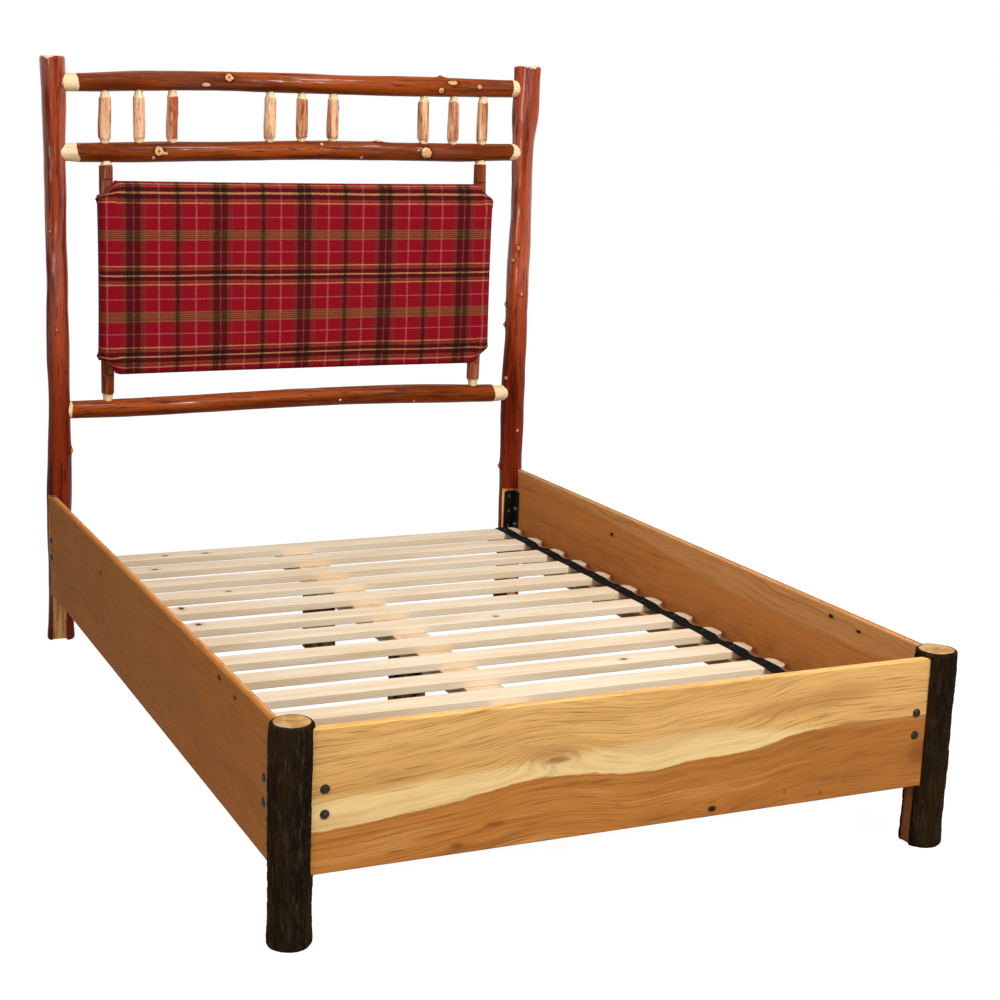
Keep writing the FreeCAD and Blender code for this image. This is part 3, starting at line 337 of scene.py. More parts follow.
def peeled_surface(log, radius, turn, along):
    """Height of a log's lumps, flutes and knots, and the distance to the nearest knot in its radii."""
    seed = log["seed"]
    flute = lumps(turn, along, 9, 0.16, seed) * 0.030 + lumps(turn, along, 5, 0.30, seed + 1) * 0.022
    flute += lumps(turn, along, 3, 0.45, seed + 11) * 0.030 + lumps(turn, along, 6, 0.09, seed + 13) * 0.018
    fine = lumps(turn, along, 26, 0.035, seed + 2) * 0.006 + lumps(turn, along, 8, 0.055, seed + 12) * 0.014
    height = radius * (flute + fine) * log["roughness"]
    no_knot, oval_core = 4.0, 0.45
    knot = np.full(len(turn), no_knot)
    for place_along, knot_turn, knot_size, rise, *stretch in log.get("knots", ()):
        long_share = stretch[0] if stretch else 1.0
        around = turned(turn - knot_turn) * 2 * math.pi * radius
        far = np.hypot((along - place_along) / long_share, around) / knot_size
        height += rise * np.minimum(1, 1.5 * np.exp(-1.3 * far ** 2)) + 0.35 * rise * np.exp(-0.16 * far ** 2)
        knot = np.minimum(knot, np.maximum(far, oval_core) if long_share > 1.1 else far)
    return height, knot


def bark_surface(count, ridge, seed, turn, along):
    """Height of the bark: wavering ridges round the log, broken along it."""
    phase = turn * count + 0.6 * lumps(turn, along, 9, 0.070, seed + 5)
    phase += 0.40 * lumps(turn, along, 24, 0.025, seed + 6)
    saw = np.abs(2 * (phase % 1) - 1)
    crest = 1 - saw ** 3
    breaks = ease(lumps(turn, along, 18, 0.014, seed + 7) * 1.4 + 0.75)
    height = ridge * (crest * (0.45 + 0.55 * breaks) - 0.6)
    return height + ridge * 0.35 * lumps(turn, along, 70, 0.004, seed + 8)


def whittled(rule, seed, turn, along, share, length, size):
    """The log's size with its ends whittled to a shoulder, a cone and a tenon; also how far past the cut."""
    shoulder, tenon = rule["shoulder"], rule["tenon"]
    wave = 0.35 * shoulder * np.sin(2 * math.pi * (turn * 2 + seed * 0.3)) \
        + 0.4 * shoulder * lumps(turn, along, 7, 10.0, seed + 3)
    low_end, high_end = rule["ends"]
    past = np.where(share < 0.5, low_end - along, along - (length - high_end)) + wave
    facets = 0.0009 * np.cos(2 * math.pi * (turn * 7 + lumps(turn, along, 4, 10.0, seed + 4)))
    left = 1 - np.clip(past / rule["cone"], 0, 1)
    cone = tenon + (rule["cone_radius"] - tenon + facets) * left
    blend = ease(past / shoulder + 0.5)
    size = np.where(past > -shoulder, size * (1 - blend) + np.minimum(cone, size) * blend, size)
    return size, past


def build_log(name, log, radius, length, place, sides, step, material, node):
    """A log whose vertices are put by share of its length and turn round it.

    log holds shape, drift, seed and roughness, and may hold knots, ridges, whittle, chips, rim, rough_ends
    and flats; place turns along, across and outwards into the bed's own coordinates.
    """
    bm = raw_log(sides, max(4, round(length / step)))
    points = np.array([v.co for v in bm.verts])
    rho = np.clip(np.hypot(points[:, 0], points[:, 1]), 0, 1)
    turn = np.arctan2(points[:, 1], points[:, 0]) / (2 * math.pi) % 1
    share = points[:, 2] + 0.5
    along = share * length
    seed = log["seed"]
    wall = rho > 0.999
    height, knot = peeled_surface(log, radius, turn, along)
    if "ridges" in log:
        height += bark_surface(*log["ridges"], seed, turn, along)
    size = radius * smooth_line(share, log["shape"]) + height
    cut = np.full(len(share), -1.0)
    if "whittle" in log:
        size, cut = whittled(log["whittle"], seed, turn, along, share, length, size)
    if "chips" in log:
        # Pale chips along the sawn upper edge
        chip = log["chips"] * (lumps(turn, along * 0, 17, 1.0, seed + 20) + 0.25)
        cut = np.where(wall, chip - (length - along), cut)
    if "rim" in log:
        from_end = np.minimum(along, length - along)
        size = size - log["rim"] * 0.55 * (1 - np.clip(from_end / log["rim"], 0, 1)) ** 2
    drift = radius * smooth_line(share, log["drift"]) if "drift" in log else 0.0
    across = size * rho * np.cos(2 * math.pi * turn) + (0 if log.get("bows") else drift)
    out = size * rho * np.sin(2 * math.pi * turn) + (drift if log.get("bows") else 0)
    if log.get("rough_ends"):
        tip = np.where(share > 0.5, 1, -1) * (share > 0.999)
        along = along + tip * (0.0006 * lumps(turn, rho * 0.04, 14, 0.008, seed + 9) - 0.0008 * rho ** 4)
    spots = np.stack(place(along, across, out), axis=1)
    flat = np.zeros(len(share))
    for axis, limit, sign, low, high in log.get("flats", ()):
        inside = np.all((spots >= np.array(low)) & (spots <= np.array(high)), axis=1)
        past_limit = inside & ((spots[:, axis] - limit) * sign > 0)
        flat[past_limit] = log.get("bare_flats", 1)
        spots[past_limit, axis] = limit
    move_points(bm, *spots.T)
    bmesh.ops.recalc_face_normals(bm, faces=bm.faces)
    piece = finished(bm, name, "bed_frame", material, node)
    core = np.where(wall, 1.2, rho)
    for label, values in (("knot", knot), ("cut", cut), ("flat", flat), ("core", core)):
        layer = piece.data.attributes.new(label, "FLOAT", "POINT")
        layer.data.foreach_set("value", values.astype(np.float32))


def upright(x, y, z):
    return lambda along, across, out: (x + across, y + out, z + along)


def lying(length, y, z, rise):
    """Along X from its left end; turn 0 faces the foot of the bed and a quarter turn faces up."""
    tilt = math.atan2(rise, 2 * HEAD_X)

    def place(along, across, out):
        x = along - length / 2
        return (x * math.cos(tilt) - out * math.sin(tilt), y - across,
                z + x * math.sin(tilt) + out * math.cos(tilt))
    return place


def between(sign, near, far):
    """The lower and higher of two places on one side of the bed."""
    return sorted((sign * near, sign * far))


# ---------------------------------------------------------------- material helpers

class Wire:
    """A node's output; adding, multiplying and so on gives the output of a new Math node."""

    def __init__(self, socket):
        self.socket = socket
        self.tree = socket.id_data

    def __add__(self, other):
        return calc("ADD", self, other)

    def __radd__(self, other):
        return calc("ADD", other, self)

    def __sub__(self, other):
        return calc("SUBTRACT", self, other)

    def __mul__(self, other):
        return calc("MULTIPLY", self, other)

    def __truediv__(self, other):
        return calc("DIVIDE", self, other)


def fill(inputs, values):
    """Gives input sockets their values; a wire is linked."""
    for label, value in values.items():
        if isinstance(value, Wire):
            value.tree.links.new(value.socket, inputs[label])
        else:
            inputs[label].default_value = value


def wires(outputs):
    return {socket.name: Wire(socket) for socket in outputs if socket.name}


def tree_of(*values):
    return next(value.tree for value in values if isinstance(value, Wire))


def add(tree, kind, inputs=None, **settings):
    """Adds a node; an input is a value or a wire."""
    node = tree.nodes.new(kind)
    for label, value in settings.items():
        setattr(node, label, value)
    fill(node.inputs, inputs or {})
    return node


def calc(operation, *values):
    node = add(tree_of(*values), "ShaderNodeMath", dict(enumerate(values)), operation=operation)
    return Wire(node.outputs[0])


def vector_calc(operation, *values):
    node = add(tree_of(*values), "ShaderNodeVectorMath", dict(enumerate(values)), operation=operation)
    return Wire(node.outputs[0])


def step_up(value, low, high, to_low=0.0, to_high=1.0):
    """Smooth step from low to high."""
    node = add(value.tree, "ShaderNodeMapRange", {"Value": value, "From Min": low, "From Max": high,
                                                  "To Min": to_low, "To Max": to_high},
               interpolation_type="SMOOTHSTEP")
    return Wire(node.outputs["Result"])


def mixed(factor, first, second, blend="MIX"):
    node = add(tree_of(factor, first, second), "ShaderNodeMix", data_type="RGBA", blend_type=blend,
               clamp_factor=True)
    first, second = (value if isinstance(value, Wire) else (*value[:3], 1) for value in (first, second))
    fill(node.inputs, {0: factor, 6: first, 7: second})
    return Wire(node.outputs[2])


def noise(where, scale, detail=3.0, roughness=0.5, distortion=0.0):
    return Wire(add(where.tree, "ShaderNodeTexNoise", {"Vector": where, "Scale": scale, "Detail": detail,
                                                       "Roughness": roughness,
                                                       "Distortion": distortion}).outputs["Fac"])


def parts(where):
    return [Wire(socket) for socket in add(where.tree, "ShaderNodeSeparateXYZ", {"Vector": where}).outputs]


def joined(x=0.0, y=0.0, z=0.0):
    return Wire(add(tree_of(x, y, z), "ShaderNodeCombineXYZ", {"X": x, "Y": y, "Z": z}).outputs[0])


def stored(tree, label):
    """A value that the mesh holds at each vertex."""
    return Wire(add(tree, "ShaderNodeAttribute", attribute_name=label).outputs["Fac"])


def bump(height, strength, distance):
    return Wire(add(height.tree, "ShaderNodeBump", {"Height": height, "Strength": strength,
                                                    "Distance": distance}).outputs[0])


def curve(share, stations):
    node = add(share.tree, "ShaderNodeFloatCurve", {"Value": share})
    points = node.mapping.curves[0].points
    points[0].location = stations[0]
    points[1].location = stations[-1]
    for x, y in stations[1:-1]:
        points.new(x, y)
    node.mapping.update()
    return Wire(node.outputs[0])


def effect(name, inputs, outputs, kind="NodeSocketFloat"):
    """Makes a shader node group, once, of a function from its inputs' wires to its outputs' wires.

    inputs gives each input's default: a number, or None or three numbers for a vector.
    """
    def decorate(build):
        def group():
            if name in bpy.data.node_groups:
                return bpy.data.node_groups[name]
            tree = bpy.data.node_groups.new(name, "ShaderNodeTree")
            for label, value in inputs.items():
                given_kind = "NodeSocketFloat" if isinstance(value, float) else "NodeSocketVector"
                socket = tree.interface.new_socket(name=label, in_out="INPUT", socket_type=given_kind)
                if value is not None:
                    socket.default_value = value
            for label in outputs:
                tree.interface.new_socket(name=label, in_out="OUTPUT", socket_type=kind)
            given = wires(tree.nodes.new("NodeGroupInput").outputs)
            fill(tree.nodes.new("NodeGroupOutput").inputs, dict(zip(outputs, build(given))))
            return tree
        return group
    return decorate


def use(group, **inputs):
    """Places a node group in the tree of its inputs; an underscore in a label stands for a space."""
    node = tree_of(*inputs.values()).nodes.new("ShaderNodeGroup")
    node.node_tree = group
    fill(node.inputs, {label.replace("_", " "): value for label, value in inputs.items()})
    return wires(node.outputs)


# ---------------------------------------------------------------- shared effects

@effect("log grain", {"Vector": None, "Stretch": (60, 60, 5)}, ("Streaks", "Blotches", "Fibres", "Checks"))
def grain_effect(given):
    """Streaks, blotches, fine fibres and drying checks that run along a log."""
    bent = vector_calc("MULTIPLY", given["Vector"], given["Stretch"])
    wide = noise(bent, 1.0, 4.0, 0.62, 0.4)
    narrow = noise(bent, 3.1, 3.0, 0.6, 0.2)
    slow = vector_calc("MULTIPLY", bent, (0.22, 0.22, 0.22))
    return (wide * 0.65 + narrow * 0.35, noise(slow, 1.0, 2.0, 0.5), noise(bent, 9.0, 2.0, 0.6),
            step_up(noise(bent, 2.3, 1.5, 0.5, 0.6), 0.62, 0.70))


@effect("knot marks", {"Distance": 4.0, "Wobble": 0.5}, ("Heart", "Cut", "Ring", "Halo"))
def knot_effect(given):
    """Masks of a knot from the distance to its middle, in knot radii."""
    far = given["Distance"] + (given["Wobble"] - 0.5) * 0.5
    return (step_up(far, 0.40, 0.22), step_up(far, 0.98, 0.86),
            step_up(far, 0.84, 0.98) * step_up(far, 1.30, 1.08), step_up(far, 2.3, 1.1))


@effect("sawn end", {"Vector": None, "Rings": 420.0}, ("Rings", "Cracks", "Heart"))
def sawn_effect(given):
    """Growth rings and drying cracks of a sawn log end, from coordinates centred on its heart."""
    where = given["Vector"]
    sway = vector_calc("MULTIPLY", joined(noise(where, 40.0), noise(where, 33.0)), (0.006, 0.006, 0))
    x, y, _ = parts(vector_calc("ADD", where, sway))
    radius = calc("SQRT", x * x + y * y)
    spokes = 5
    angle = calc("ARCTAN2", y, x) * (spokes / (2 * math.pi))
    width = calc("ABSOLUTE", calc("FRACT", angle) - 0.5) * radius
    chance = Wire(add(angle.tree, "ShaderNodeTexWhiteNoise", {"W": calc("FLOOR", angle)},
                      noise_dimensions="1D").outputs[0])
    cracks = step_up(width, 0.0007, 0.0002) * step_up(radius, 0.030, 0.012) * step_up(chance, 0.50, 0.52)
    return calc("FRACT", radius * given["Rings"]), cracks, step_up(radius, 0.022, 0.004)


@effect("plank figure",
        {"Along": 0.0, "Up": 0.0, "Depth": 0.0, "Bend": 0.0, "Lines": 70.0, "Sway": 0.012, "Seed": 0.0},
        ("Lines", "Fine", "Pores", "Patches"))
def figure_effect(given):
    """Grain lines of a sawn plank: lines of equal height, bent by slow noise and round knots."""
    along, up, depth, seed = given["Along"], given["Up"], given["Depth"], given["Seed"]
    slow = noise(joined(along * 2.2, up * 7.0, seed), 1.0, 2.0, 0.5, 0.3)
    quick = noise(joined(along * 9.0, up * 30.0, seed), 1.0, 2.0, 0.5)
    sway = (slow - 0.5) * (given["Sway"] * 6.0)
    small = (quick - 0.5) * (given["Sway"] * 0.7)
    level = (up + depth * 0.9) + ((sway + small) + given["Bend"])
    rings = noise(joined(along * 0.9, level * given["Lines"], seed), 1.0, 4.0, 0.68)
    fine = noise(joined(along * 5.0, level * 420.0, seed), 1.0, 3.0, 0.6)
    pores = noise(joined(along * 11.0, level * 620.0, depth * 300.0), 1.0, 1.0, 0.5)
    patches = noise(joined(along * 3.0, level * 26.0, seed), 1.0, 2.0, 0.5)
    return step_up(rings, 0.50, 0.72), fine, step_up(pores, 0.56, 0.68), patches


@effect("plank knot",
        {"Along": 0.0, "Up": 0.0, "Knot Along": 0.0, "Knot Up": 0.0, "Width": 0.02, "Height": 0.01,
         "Rise": 0.02},
        ("Bend", "Heart", "Shade"))
def plank_knot_effect(given):
    """A knot in a plank: how far it bends the grain, and the masks of its heart and its shade."""
    along, up = given["Along"], given["Up"]
    x = (along - given["Knot Along"]) / given["Width"]
    z = (up - given["Knot Up"]) / given["Height"]
    wobble = noise(joined(along * 60.0, up * 90.0), 1.0, 2.0)
    far = calc("SQRT", x * x + z * z) + (wobble - 0.5) * 0.8
    bell = calc("EXPONENT", far * far * -0.22)
    return bell * given["Rise"], step_up(far, 1.05, 0.55), step_up(far, 2.6, 0.9)


@effect("metal wear", {"Vector": None, "Size": 400.0}, ("Dents", "Wear"))
def scuff_effect(given):
    """Dents and worn spots of a metal surface."""
    where = given["Vector"]
    cells = add(where.tree, "ShaderNodeTexVoronoi", {"Vector": where, "Scale": given["Size"]})
    return Wire(cells.outputs["Distance"]), step_up(noise(where, 260.0, 3.0), 0.52, 0.70)


@effect("plaid threads", {"Across": 0.0, "Up": 0.0}, ("Warp", "Weft"), "NodeSocketColor")
def sett_effect(given):
    """Colour of the plaid's threads across one repeat, warp and weft."""
    tone = colours()
    ground, dark, brown, gold = (tuple(c) for c in (tone.cloth_ground, tone.cloth_dark, tone.cloth_brown,
                                                    tone.cloth_gold))
    thin, line, rust = srgb(178, 104, 94), srgb(122, 66, 52), srgb(130, 62, 46)
    orange, umber, olive = srgb(138, 56, 38), srgb(96, 50, 26), srgb(128, 104, 58)
    # Each band: where it starts, as a share of the repeat from the middle of the wide band, and its colour
    warp = ((0, line), (0.007, dark), (0.078, brown), (0.128, rust), (0.135, ground), (0.280, thin),
            (0.294, ground), (0.443, brown), (0.479, dark), (0.521, brown), (0.563, ground), (0.706, thin),
            (0.720, ground), (0.868, rust), (0.875, brown), (0.916, dark), (0.993, line))
    weft = ((0, gold), (0.008, dark), (0.060, orange), (0.088, umber), (0.103, gold), (0.119, ground),
            (0.282, thin), (0.295, ground), (0.443, olive), (0.460, brown), (0.472, olive), (0.486, brown),
            (0.498, olive), (0.512, brown), (0.524, olive), (0.538, brown), (0.550, olive), (0.570, ground),
            (0.708, thin), (0.721, ground), (0.878, gold), (0.892, umber), (0.907, orange), (0.938, dark),
            (0.992, gold))
    made = []
    for share, bands in ((given["Across"], warp), (given["Up"], weft)):
        node = add(share.tree, "ShaderNodeValToRGB", {"Fac": calc("FRACT", share)})
        node.color_ramp.interpolation = "CONSTANT"
        stops = node.color_ramp.elements
        stops[0].position, stops[0].color = 0, (*bands[0][1], 1)
        stops[1].position, stops[1].color = bands[-1][0], (*bands[-1][1], 1)
        for start, band_colour in bands[1:-1]:
            stops.new(start).color = (*band_colour, 1)
        made.append(Wire(node.outputs["Color"]))
    return made


# ---------------------------------------------------------------- materials

def new_material(name):
    """A material, its Principled shader's inputs and its object coordinates."""
    made = bpy.data.materials.new(name)
    made.use_nodes = True
    tree = made.node_tree
    where = Wire(add(tree, "ShaderNodeTexCoord").outputs["Object"])
    return made, tree.nodes["Principled BSDF"].inputs, where


def painted(colour, *layers):
    """Lays colours over a colour; each layer is its mask and its colour, or also how it blends."""
    for mask, over, *blend in layers:
        colour = mixed(mask, colour, over, *blend)
    return colour


def centred(where, x, y):
    """Coordinates from the heart of the nearer of two logs at x and -x."""
    across, along, _ = parts(where)
    return joined(calc("ABSOLUTE", across) - x, along - y)


def peeled_material(name, light, dark, streak, stretch, heart=(0, 0), streaking=0.5, gloss=0.30,
                    knot_tone=None, low_tone=None, checks=0.80, coat=0.60, worn_from=0.53):
    """Peeled log: streaked red-brown skin, pale where it is whittled, sawn or has a cut knot."""
    made, shader, where = new_material(name)
    pale_wood = colours().pale_wood
    grain = use(grain_effect(), Vector=where, Stretch=stretch)
    streaks = grain["Streaks"]
    colour = painted(
        mixed(step_up(grain["Blotches"], 0.40, 0.60), dark, light),
        (step_up(streaks, 0.50, 0.40, 0, 0.55), light),
        (step_up(streaks, 0.52, 0.64, 0, streaking), streak),
        (step_up(grain["Fibres"], 0.50, 0.75, 0, 0.35), streak),
        (grain["Checks"] * checks, srgb(52, 16, 8)))
    if low_tone:
        colour = mixed(step_up(parts(where)[2], 1.05, 0.55, 0, 0.85), colour, low_tone, "MULTIPLY")
    wobble = noise(where, 160.0, 2.0)
    marks = use(knot_effect(), Distance=stored(where.tree, "knot"), Wobble=wobble)
    face = mixed(step_up(wobble, 0.35, 0.65), knot_tone or pale_wood, srgb(206, 138, 76))
    colour = painted(colour, (marks["Halo"] * 0.35, streak), (marks["Ring"], streak), (marks["Cut"], face),
                     (marks["Heart"] * 0.9, srgb(84, 34, 14)))
    # Whittled ends and sawn flats
    whittled_wood = mixed(step_up(streaks, 0.45, 0.70, 0, 0.6), pale_wood, srgb(206, 150, 96))
    flat_wood = mixed(step_up(streaks, 0.42, 0.60), srgb(250, 192, 128), srgb(208, 140, 82))
    edge = stored(where.tree, "cut") + (wobble - 0.5) * 0.004
    flat = step_up(stored(where.tree, "flat"), 0.4, 0.6)
    bare = calc("MAXIMUM", step_up(edge, -0.0008, 0.0008), flat)
    # Sawn ends
    rings = use(sawn_effect(), Vector=centred(where, *heart))
    sawn = painted(mixed(step_up(rings["Rings"], 0.55, 1.0, 0, 0.5), pale_wood, srgb(190, 126, 78)),
                   (rings["Heart"] * 0.7, srgb(168, 92, 52)), (rings["Cracks"], srgb(50, 28, 16)))
    end = step_up(stored(where.tree, "core"), 0.97, 0.93)
    colour = painted(colour, (bare, mixed(flat, whittled_wood, flat_wood)), (end, sawn))
    rough = mixed(calc("MAXIMUM", bare, end), (gloss,) * 3, (0.62,) * 3)
    rough = mixed(step_up(streaks, 0.4, 0.7, 0, 0.5), rough, (0.55,) * 3)
    # The lacquer is worn off in patches, and on the posts it is thinner lower down
    worn = noise(vector_calc("MULTIPLY", where, [n * 0.9 for n in stretch]), 0.5, 3.0, 0.7)
    lacquer = step_up(worn, worn_from, worn_from + 0.09, coat * 0.04, coat)
    if low_tone:
        lacquer = lacquer * step_up(parts(where)[2], 0.70, 1.15, 0.05, 1.0)
    relief = streaks * -1.0 + grain["Fibres"] * 0.25
    fill(shader, {"Base Color": colour, "Roughness": rough, "Specular IOR Level": 0.04,
                  "Coat Weight": lacquer, "Coat Roughness": 0.10, "Normal": bump(relief, 0.75, 0.0022)})
    return made


def bark_material(name, base, flecks):
    """Dark ridged bark, with a sawn top and a thin rim of bark round it."""
    made, shader, where = new_material(name)
    grain = use(grain_effect(), Vector=where, Stretch=(150, 150, 26))
    streaks = grain["Streaks"]
    bark = painted(mixed(step_up(grain["Blotches"], 0.35, 0.65), srgb(30, 22, 16), base),
                   (step_up(streaks, 0.50, 0.70, 0, 0.75), flecks),
                   (step_up(streaks, 0.46, 0.36, 0, 0.85), srgb(16, 12, 10)))
    rings = use(sawn_effect(), Vector=centred(where, FOOT_X, FOOT_Y), Rings=360.0)
    patch = step_up(noise(where, 32.0, 2.0), 0.48, 0.60)
    ragged = stored(where.tree, "core") + noise(where, 240.0) * 0.05
    ringed = mixed(step_up(rings["Rings"], 0.55, 1.0, 0, 0.45), srgb(210, 170, 116), srgb(166, 112, 66))
    sawn = painted(ringed, (calc("MAXIMUM", rings["Heart"], patch) * 0.60, srgb(176, 108, 58)),
                   (rings["Cracks"], srgb(60, 36, 20)), (step_up(ragged, 0.955, 0.975), srgb(58, 40, 28)))
    groove = step_up(stored(where.tree, "flat"), 0.4, 0.6) * step_up(parts(where)[2], 0.136, 0.132)
    top = step_up(stored(where.tree, "core"), 1.10, 1.02)
    colour = painted(bark, (top, sawn), (groove, srgb(150, 92, 50)))
    relief = streaks + grain["Fibres"] * 0.5
    fill(shader, {"Base Color": colour, "Roughness": 0.85, "Specular IOR Level": 0.02,
                  "Normal": bump(relief, 0.8, 0.003)})
    return made


def plank_knots(along, up, knots):
    """All the knots of one plank: their summed bend and the strongest heart and shade."""
    bend, heart, shade = 0.0, 0.0, 0.0
    for place, height, wide, tall, rise in knots:
        marks = use(plank_knot_effect(), Along=along, Up=up, Knot_Along=place, Knot_Up=height, Width=wide,
                    Height=tall, Rise=rise)
        bend = bend + marks["Bend"]
        shade = calc("MAXIMUM", shade, marks["Shade"])
        if rise > 0:
            heart = calc("MAXIMUM", heart, marks["Heart"])
    return bend, heart, shade


def finish_wood(shader, colour, figure, gloss, shine=0.08):
    rough = step_up(figure["Fine"], 0.3, 0.8, gloss - 0.06, gloss + 0.14)
    relief = figure["Fine"] * -0.5 + figure["Pores"] * -0.6
    fill(shader, {"Base Color": colour, "Roughness": rough, "Specular IOR Level": shine,
                  "Normal": bump(relief, 0.35, 0.0006)})


def footboard_material():
    """The footboard: golden streaky top, bright wedge of sapwood, browner heartwood, one dark knot."""
    made, shader, where = new_material("footboard wood")
    tone = colours()
    along, depth, up = parts(where)
    share = (along + FOOTBOARD_HALF) / (2 * FOOTBOARD_HALF)
    height = (up - PLANK_BOTTOM) / PLANK_HEIGHT
    line = curve(share, HEARTWOOD_LINE)
    bend, heart, shade = plank_knots(along, up, FOOTBOARD_KNOTS_AND_POST_SHADE)
    figure = use(figure_effect(), Along=along, Up=up + line * -PLANK_HEIGHT, Depth=depth, Bend=bend,
                 Lines=95.0, Sway=0.007, Seed=3.0)
    patches, fine = figure["Patches"], figure["Fine"]
    feather = noise(joined(along * 14.0, up * 60.0), 1.0, 4.0, 0.65)
    ragged = height + ((fine - 0.5) * 0.04 + (feather - 0.5) * 0.04)
    over_line = ragged - line
    over_wedge = ragged - curve(share, WEDGE_TOP)
    right_end = step_up(share, 0.30, 0.85) * step_up(over_line, 0.006, -0.006)
    seam = step_up(over_line, -0.030, -0.004) * step_up(over_line, 0.006, 0.0)
    calm = calc("MAXIMUM", step_up(over_wedge, 0.04, -0.04, 1.0, 0.40),
                step_up(over_line, 0.0, -0.03, 0, 1.0))
    below = step_up(over_line, 0.0, -0.02)
    stain_and_post_shade = plank_knots(along, up, FOOTBOARD_STAINS_AND_POST_SHADE)[2]
    colour = painted(
        mixed(step_up(over_line, -0.006, 0.006), tone.plank_heartwood, tone.plank_sapwood),
        (step_up(over_wedge, -0.04, 0.04), tone.plank_gold),
        (right_end, (0.80, 0.76, 0.70), "MULTIPLY"),
        (seam * 0.45, srgb(160, 90, 38)),
        (step_up(patches, 0.46, 0.34, 0, 0.6) * below, srgb(220, 156, 88)),
        (step_up(patches, 0.52, 0.70, 0, 0.6) * below, srgb(158, 88, 36)),
        (step_up(patches, 0.42, 0.66, 0, 0.30), srgb(196, 130, 64)),
        (figure["Lines"] * 0.55 * calm, srgb(150, 88, 36)),
        (step_up(fine, 0.52, 0.74, 0, 0.28), srgb(160, 98, 44)),
        (figure["Pores"] * 0.50 * calm, srgb(112, 62, 26)),
        # Darker surrounds of the knots, then the stains; both also paint shade beside the right foot post
        (shade * 0.30, srgb(160, 94, 42)),
        (stain_and_post_shade * 0.50, srgb(124, 66, 26)),
        (heart, srgb(44, 24, 14)))
    finish_wood(shader, colour, figure, 0.40)
    return made


def side_rail_material():
    """Side planks: red-brown with an arched figure, a paler band along the top of the inner faces, and the
    inner faces painted lighter all over as painted light.
    """
    made, shader, where = new_material("side rail wood")
    depth, along, up = parts(where)
    bend, heart, shade = plank_knots(along, up, SIDE_RAIL_KNOTS)
    figure = use(figure_effect(), Along=along, Up=up, Depth=depth * 0.1, Bend=bend, Lines=70.0, Sway=0.016,
                 Seed=calc("SIGN", depth) * 4.0)
    fine = figure["Fine"]
    share = (along + RAIL_FOOT_REACH) / RAIL_LENGTH
    height = (up - PLANK_BOTTOM) / PLANK_HEIGHT
    over = height + (fine - 0.5) * 0.05 - curve(share, PALE_BAND)
    inner = step_up(calc("ABSOLUTE", depth), 0.708, 0.700)
    colour = painted(
        mixed(step_up(figure["Patches"], 0.35, 0.65, 0, 0.7), colours().rail_plank, srgb(170, 106, 54)),
        # The inner faces are painted lighter all over than the outer faces of the same planks: painted light
        (inner * 0.5, srgb(228, 150, 82)),
        (step_up(over, -0.015, 0.02, 0, 0.75) * inner, srgb(214, 156, 98)),
        (figure["Lines"] * step_up(inner, 0, 1, 0.22, 0.45), srgb(136, 78, 36)),
        (step_up(fine, 0.50, 0.72, 0, 0.30), srgb(126, 74, 38)),
        (figure["Pores"] * 0.30, srgb(92, 52, 28)),
        (shade * 0.15, srgb(140, 84, 44)),
        (heart, srgb(52, 28, 16)))
    finish_wood(shader, colour, figure, 0.48, 0.005)
    return made


def board_material(name, base, dark, lengthways, lines, knots=(), contrast=0.3, seed=1.0):
    """Plain sawn softwood: lengthways for the ledgers, beam and cleat, crossways for the slats."""
    made, shader, where = new_material(name)
    x, y, depth = parts(where)
    along, up = (y, x) if lengthways else (x, y)
    bend, heart, shade = plank_knots(along, up, knots)
    figure = use(figure_effect(), Along=along, Up=up, Depth=depth * 0.8, Bend=bend, Lines=lines, Sway=0.006,
                 Seed=seed)
    colour = painted(
        mixed(step_up(figure["Patches"], 0.35, 0.70, 0, contrast), base, dark),
        (figure["Lines"] * (contrast * 0.8), dark),
        (step_up(figure["Fine"], 0.52, 0.78, 0, contrast), dark))
    if knots:
        colour = painted(colour, (shade * 0.45, srgb(196, 150, 104)), (heart, srgb(74, 40, 22)))
    finish_wood(shader, colour, figure, 0.58, 0.05)
    return made


def plywood_material():
    made, shader, where = new_material("plywood")
    x, y, z = parts(where)
    figure = use(figure_effect(), Along=x, Up=z, Depth=y * 0.2, Bend=0.0, Lines=22.0, Sway=0.03, Seed=7.0)
    colour = mixed(step_up(figure["Patches"], 0.3, 0.7, 0, 0.7), srgb(208, 172, 124), srgb(180, 134, 86))
    colour = mixed(figure["Lines"] * 0.35, colour, srgb(150, 104, 62))
    finish_wood(shader, colour, figure, 0.6)
    return made


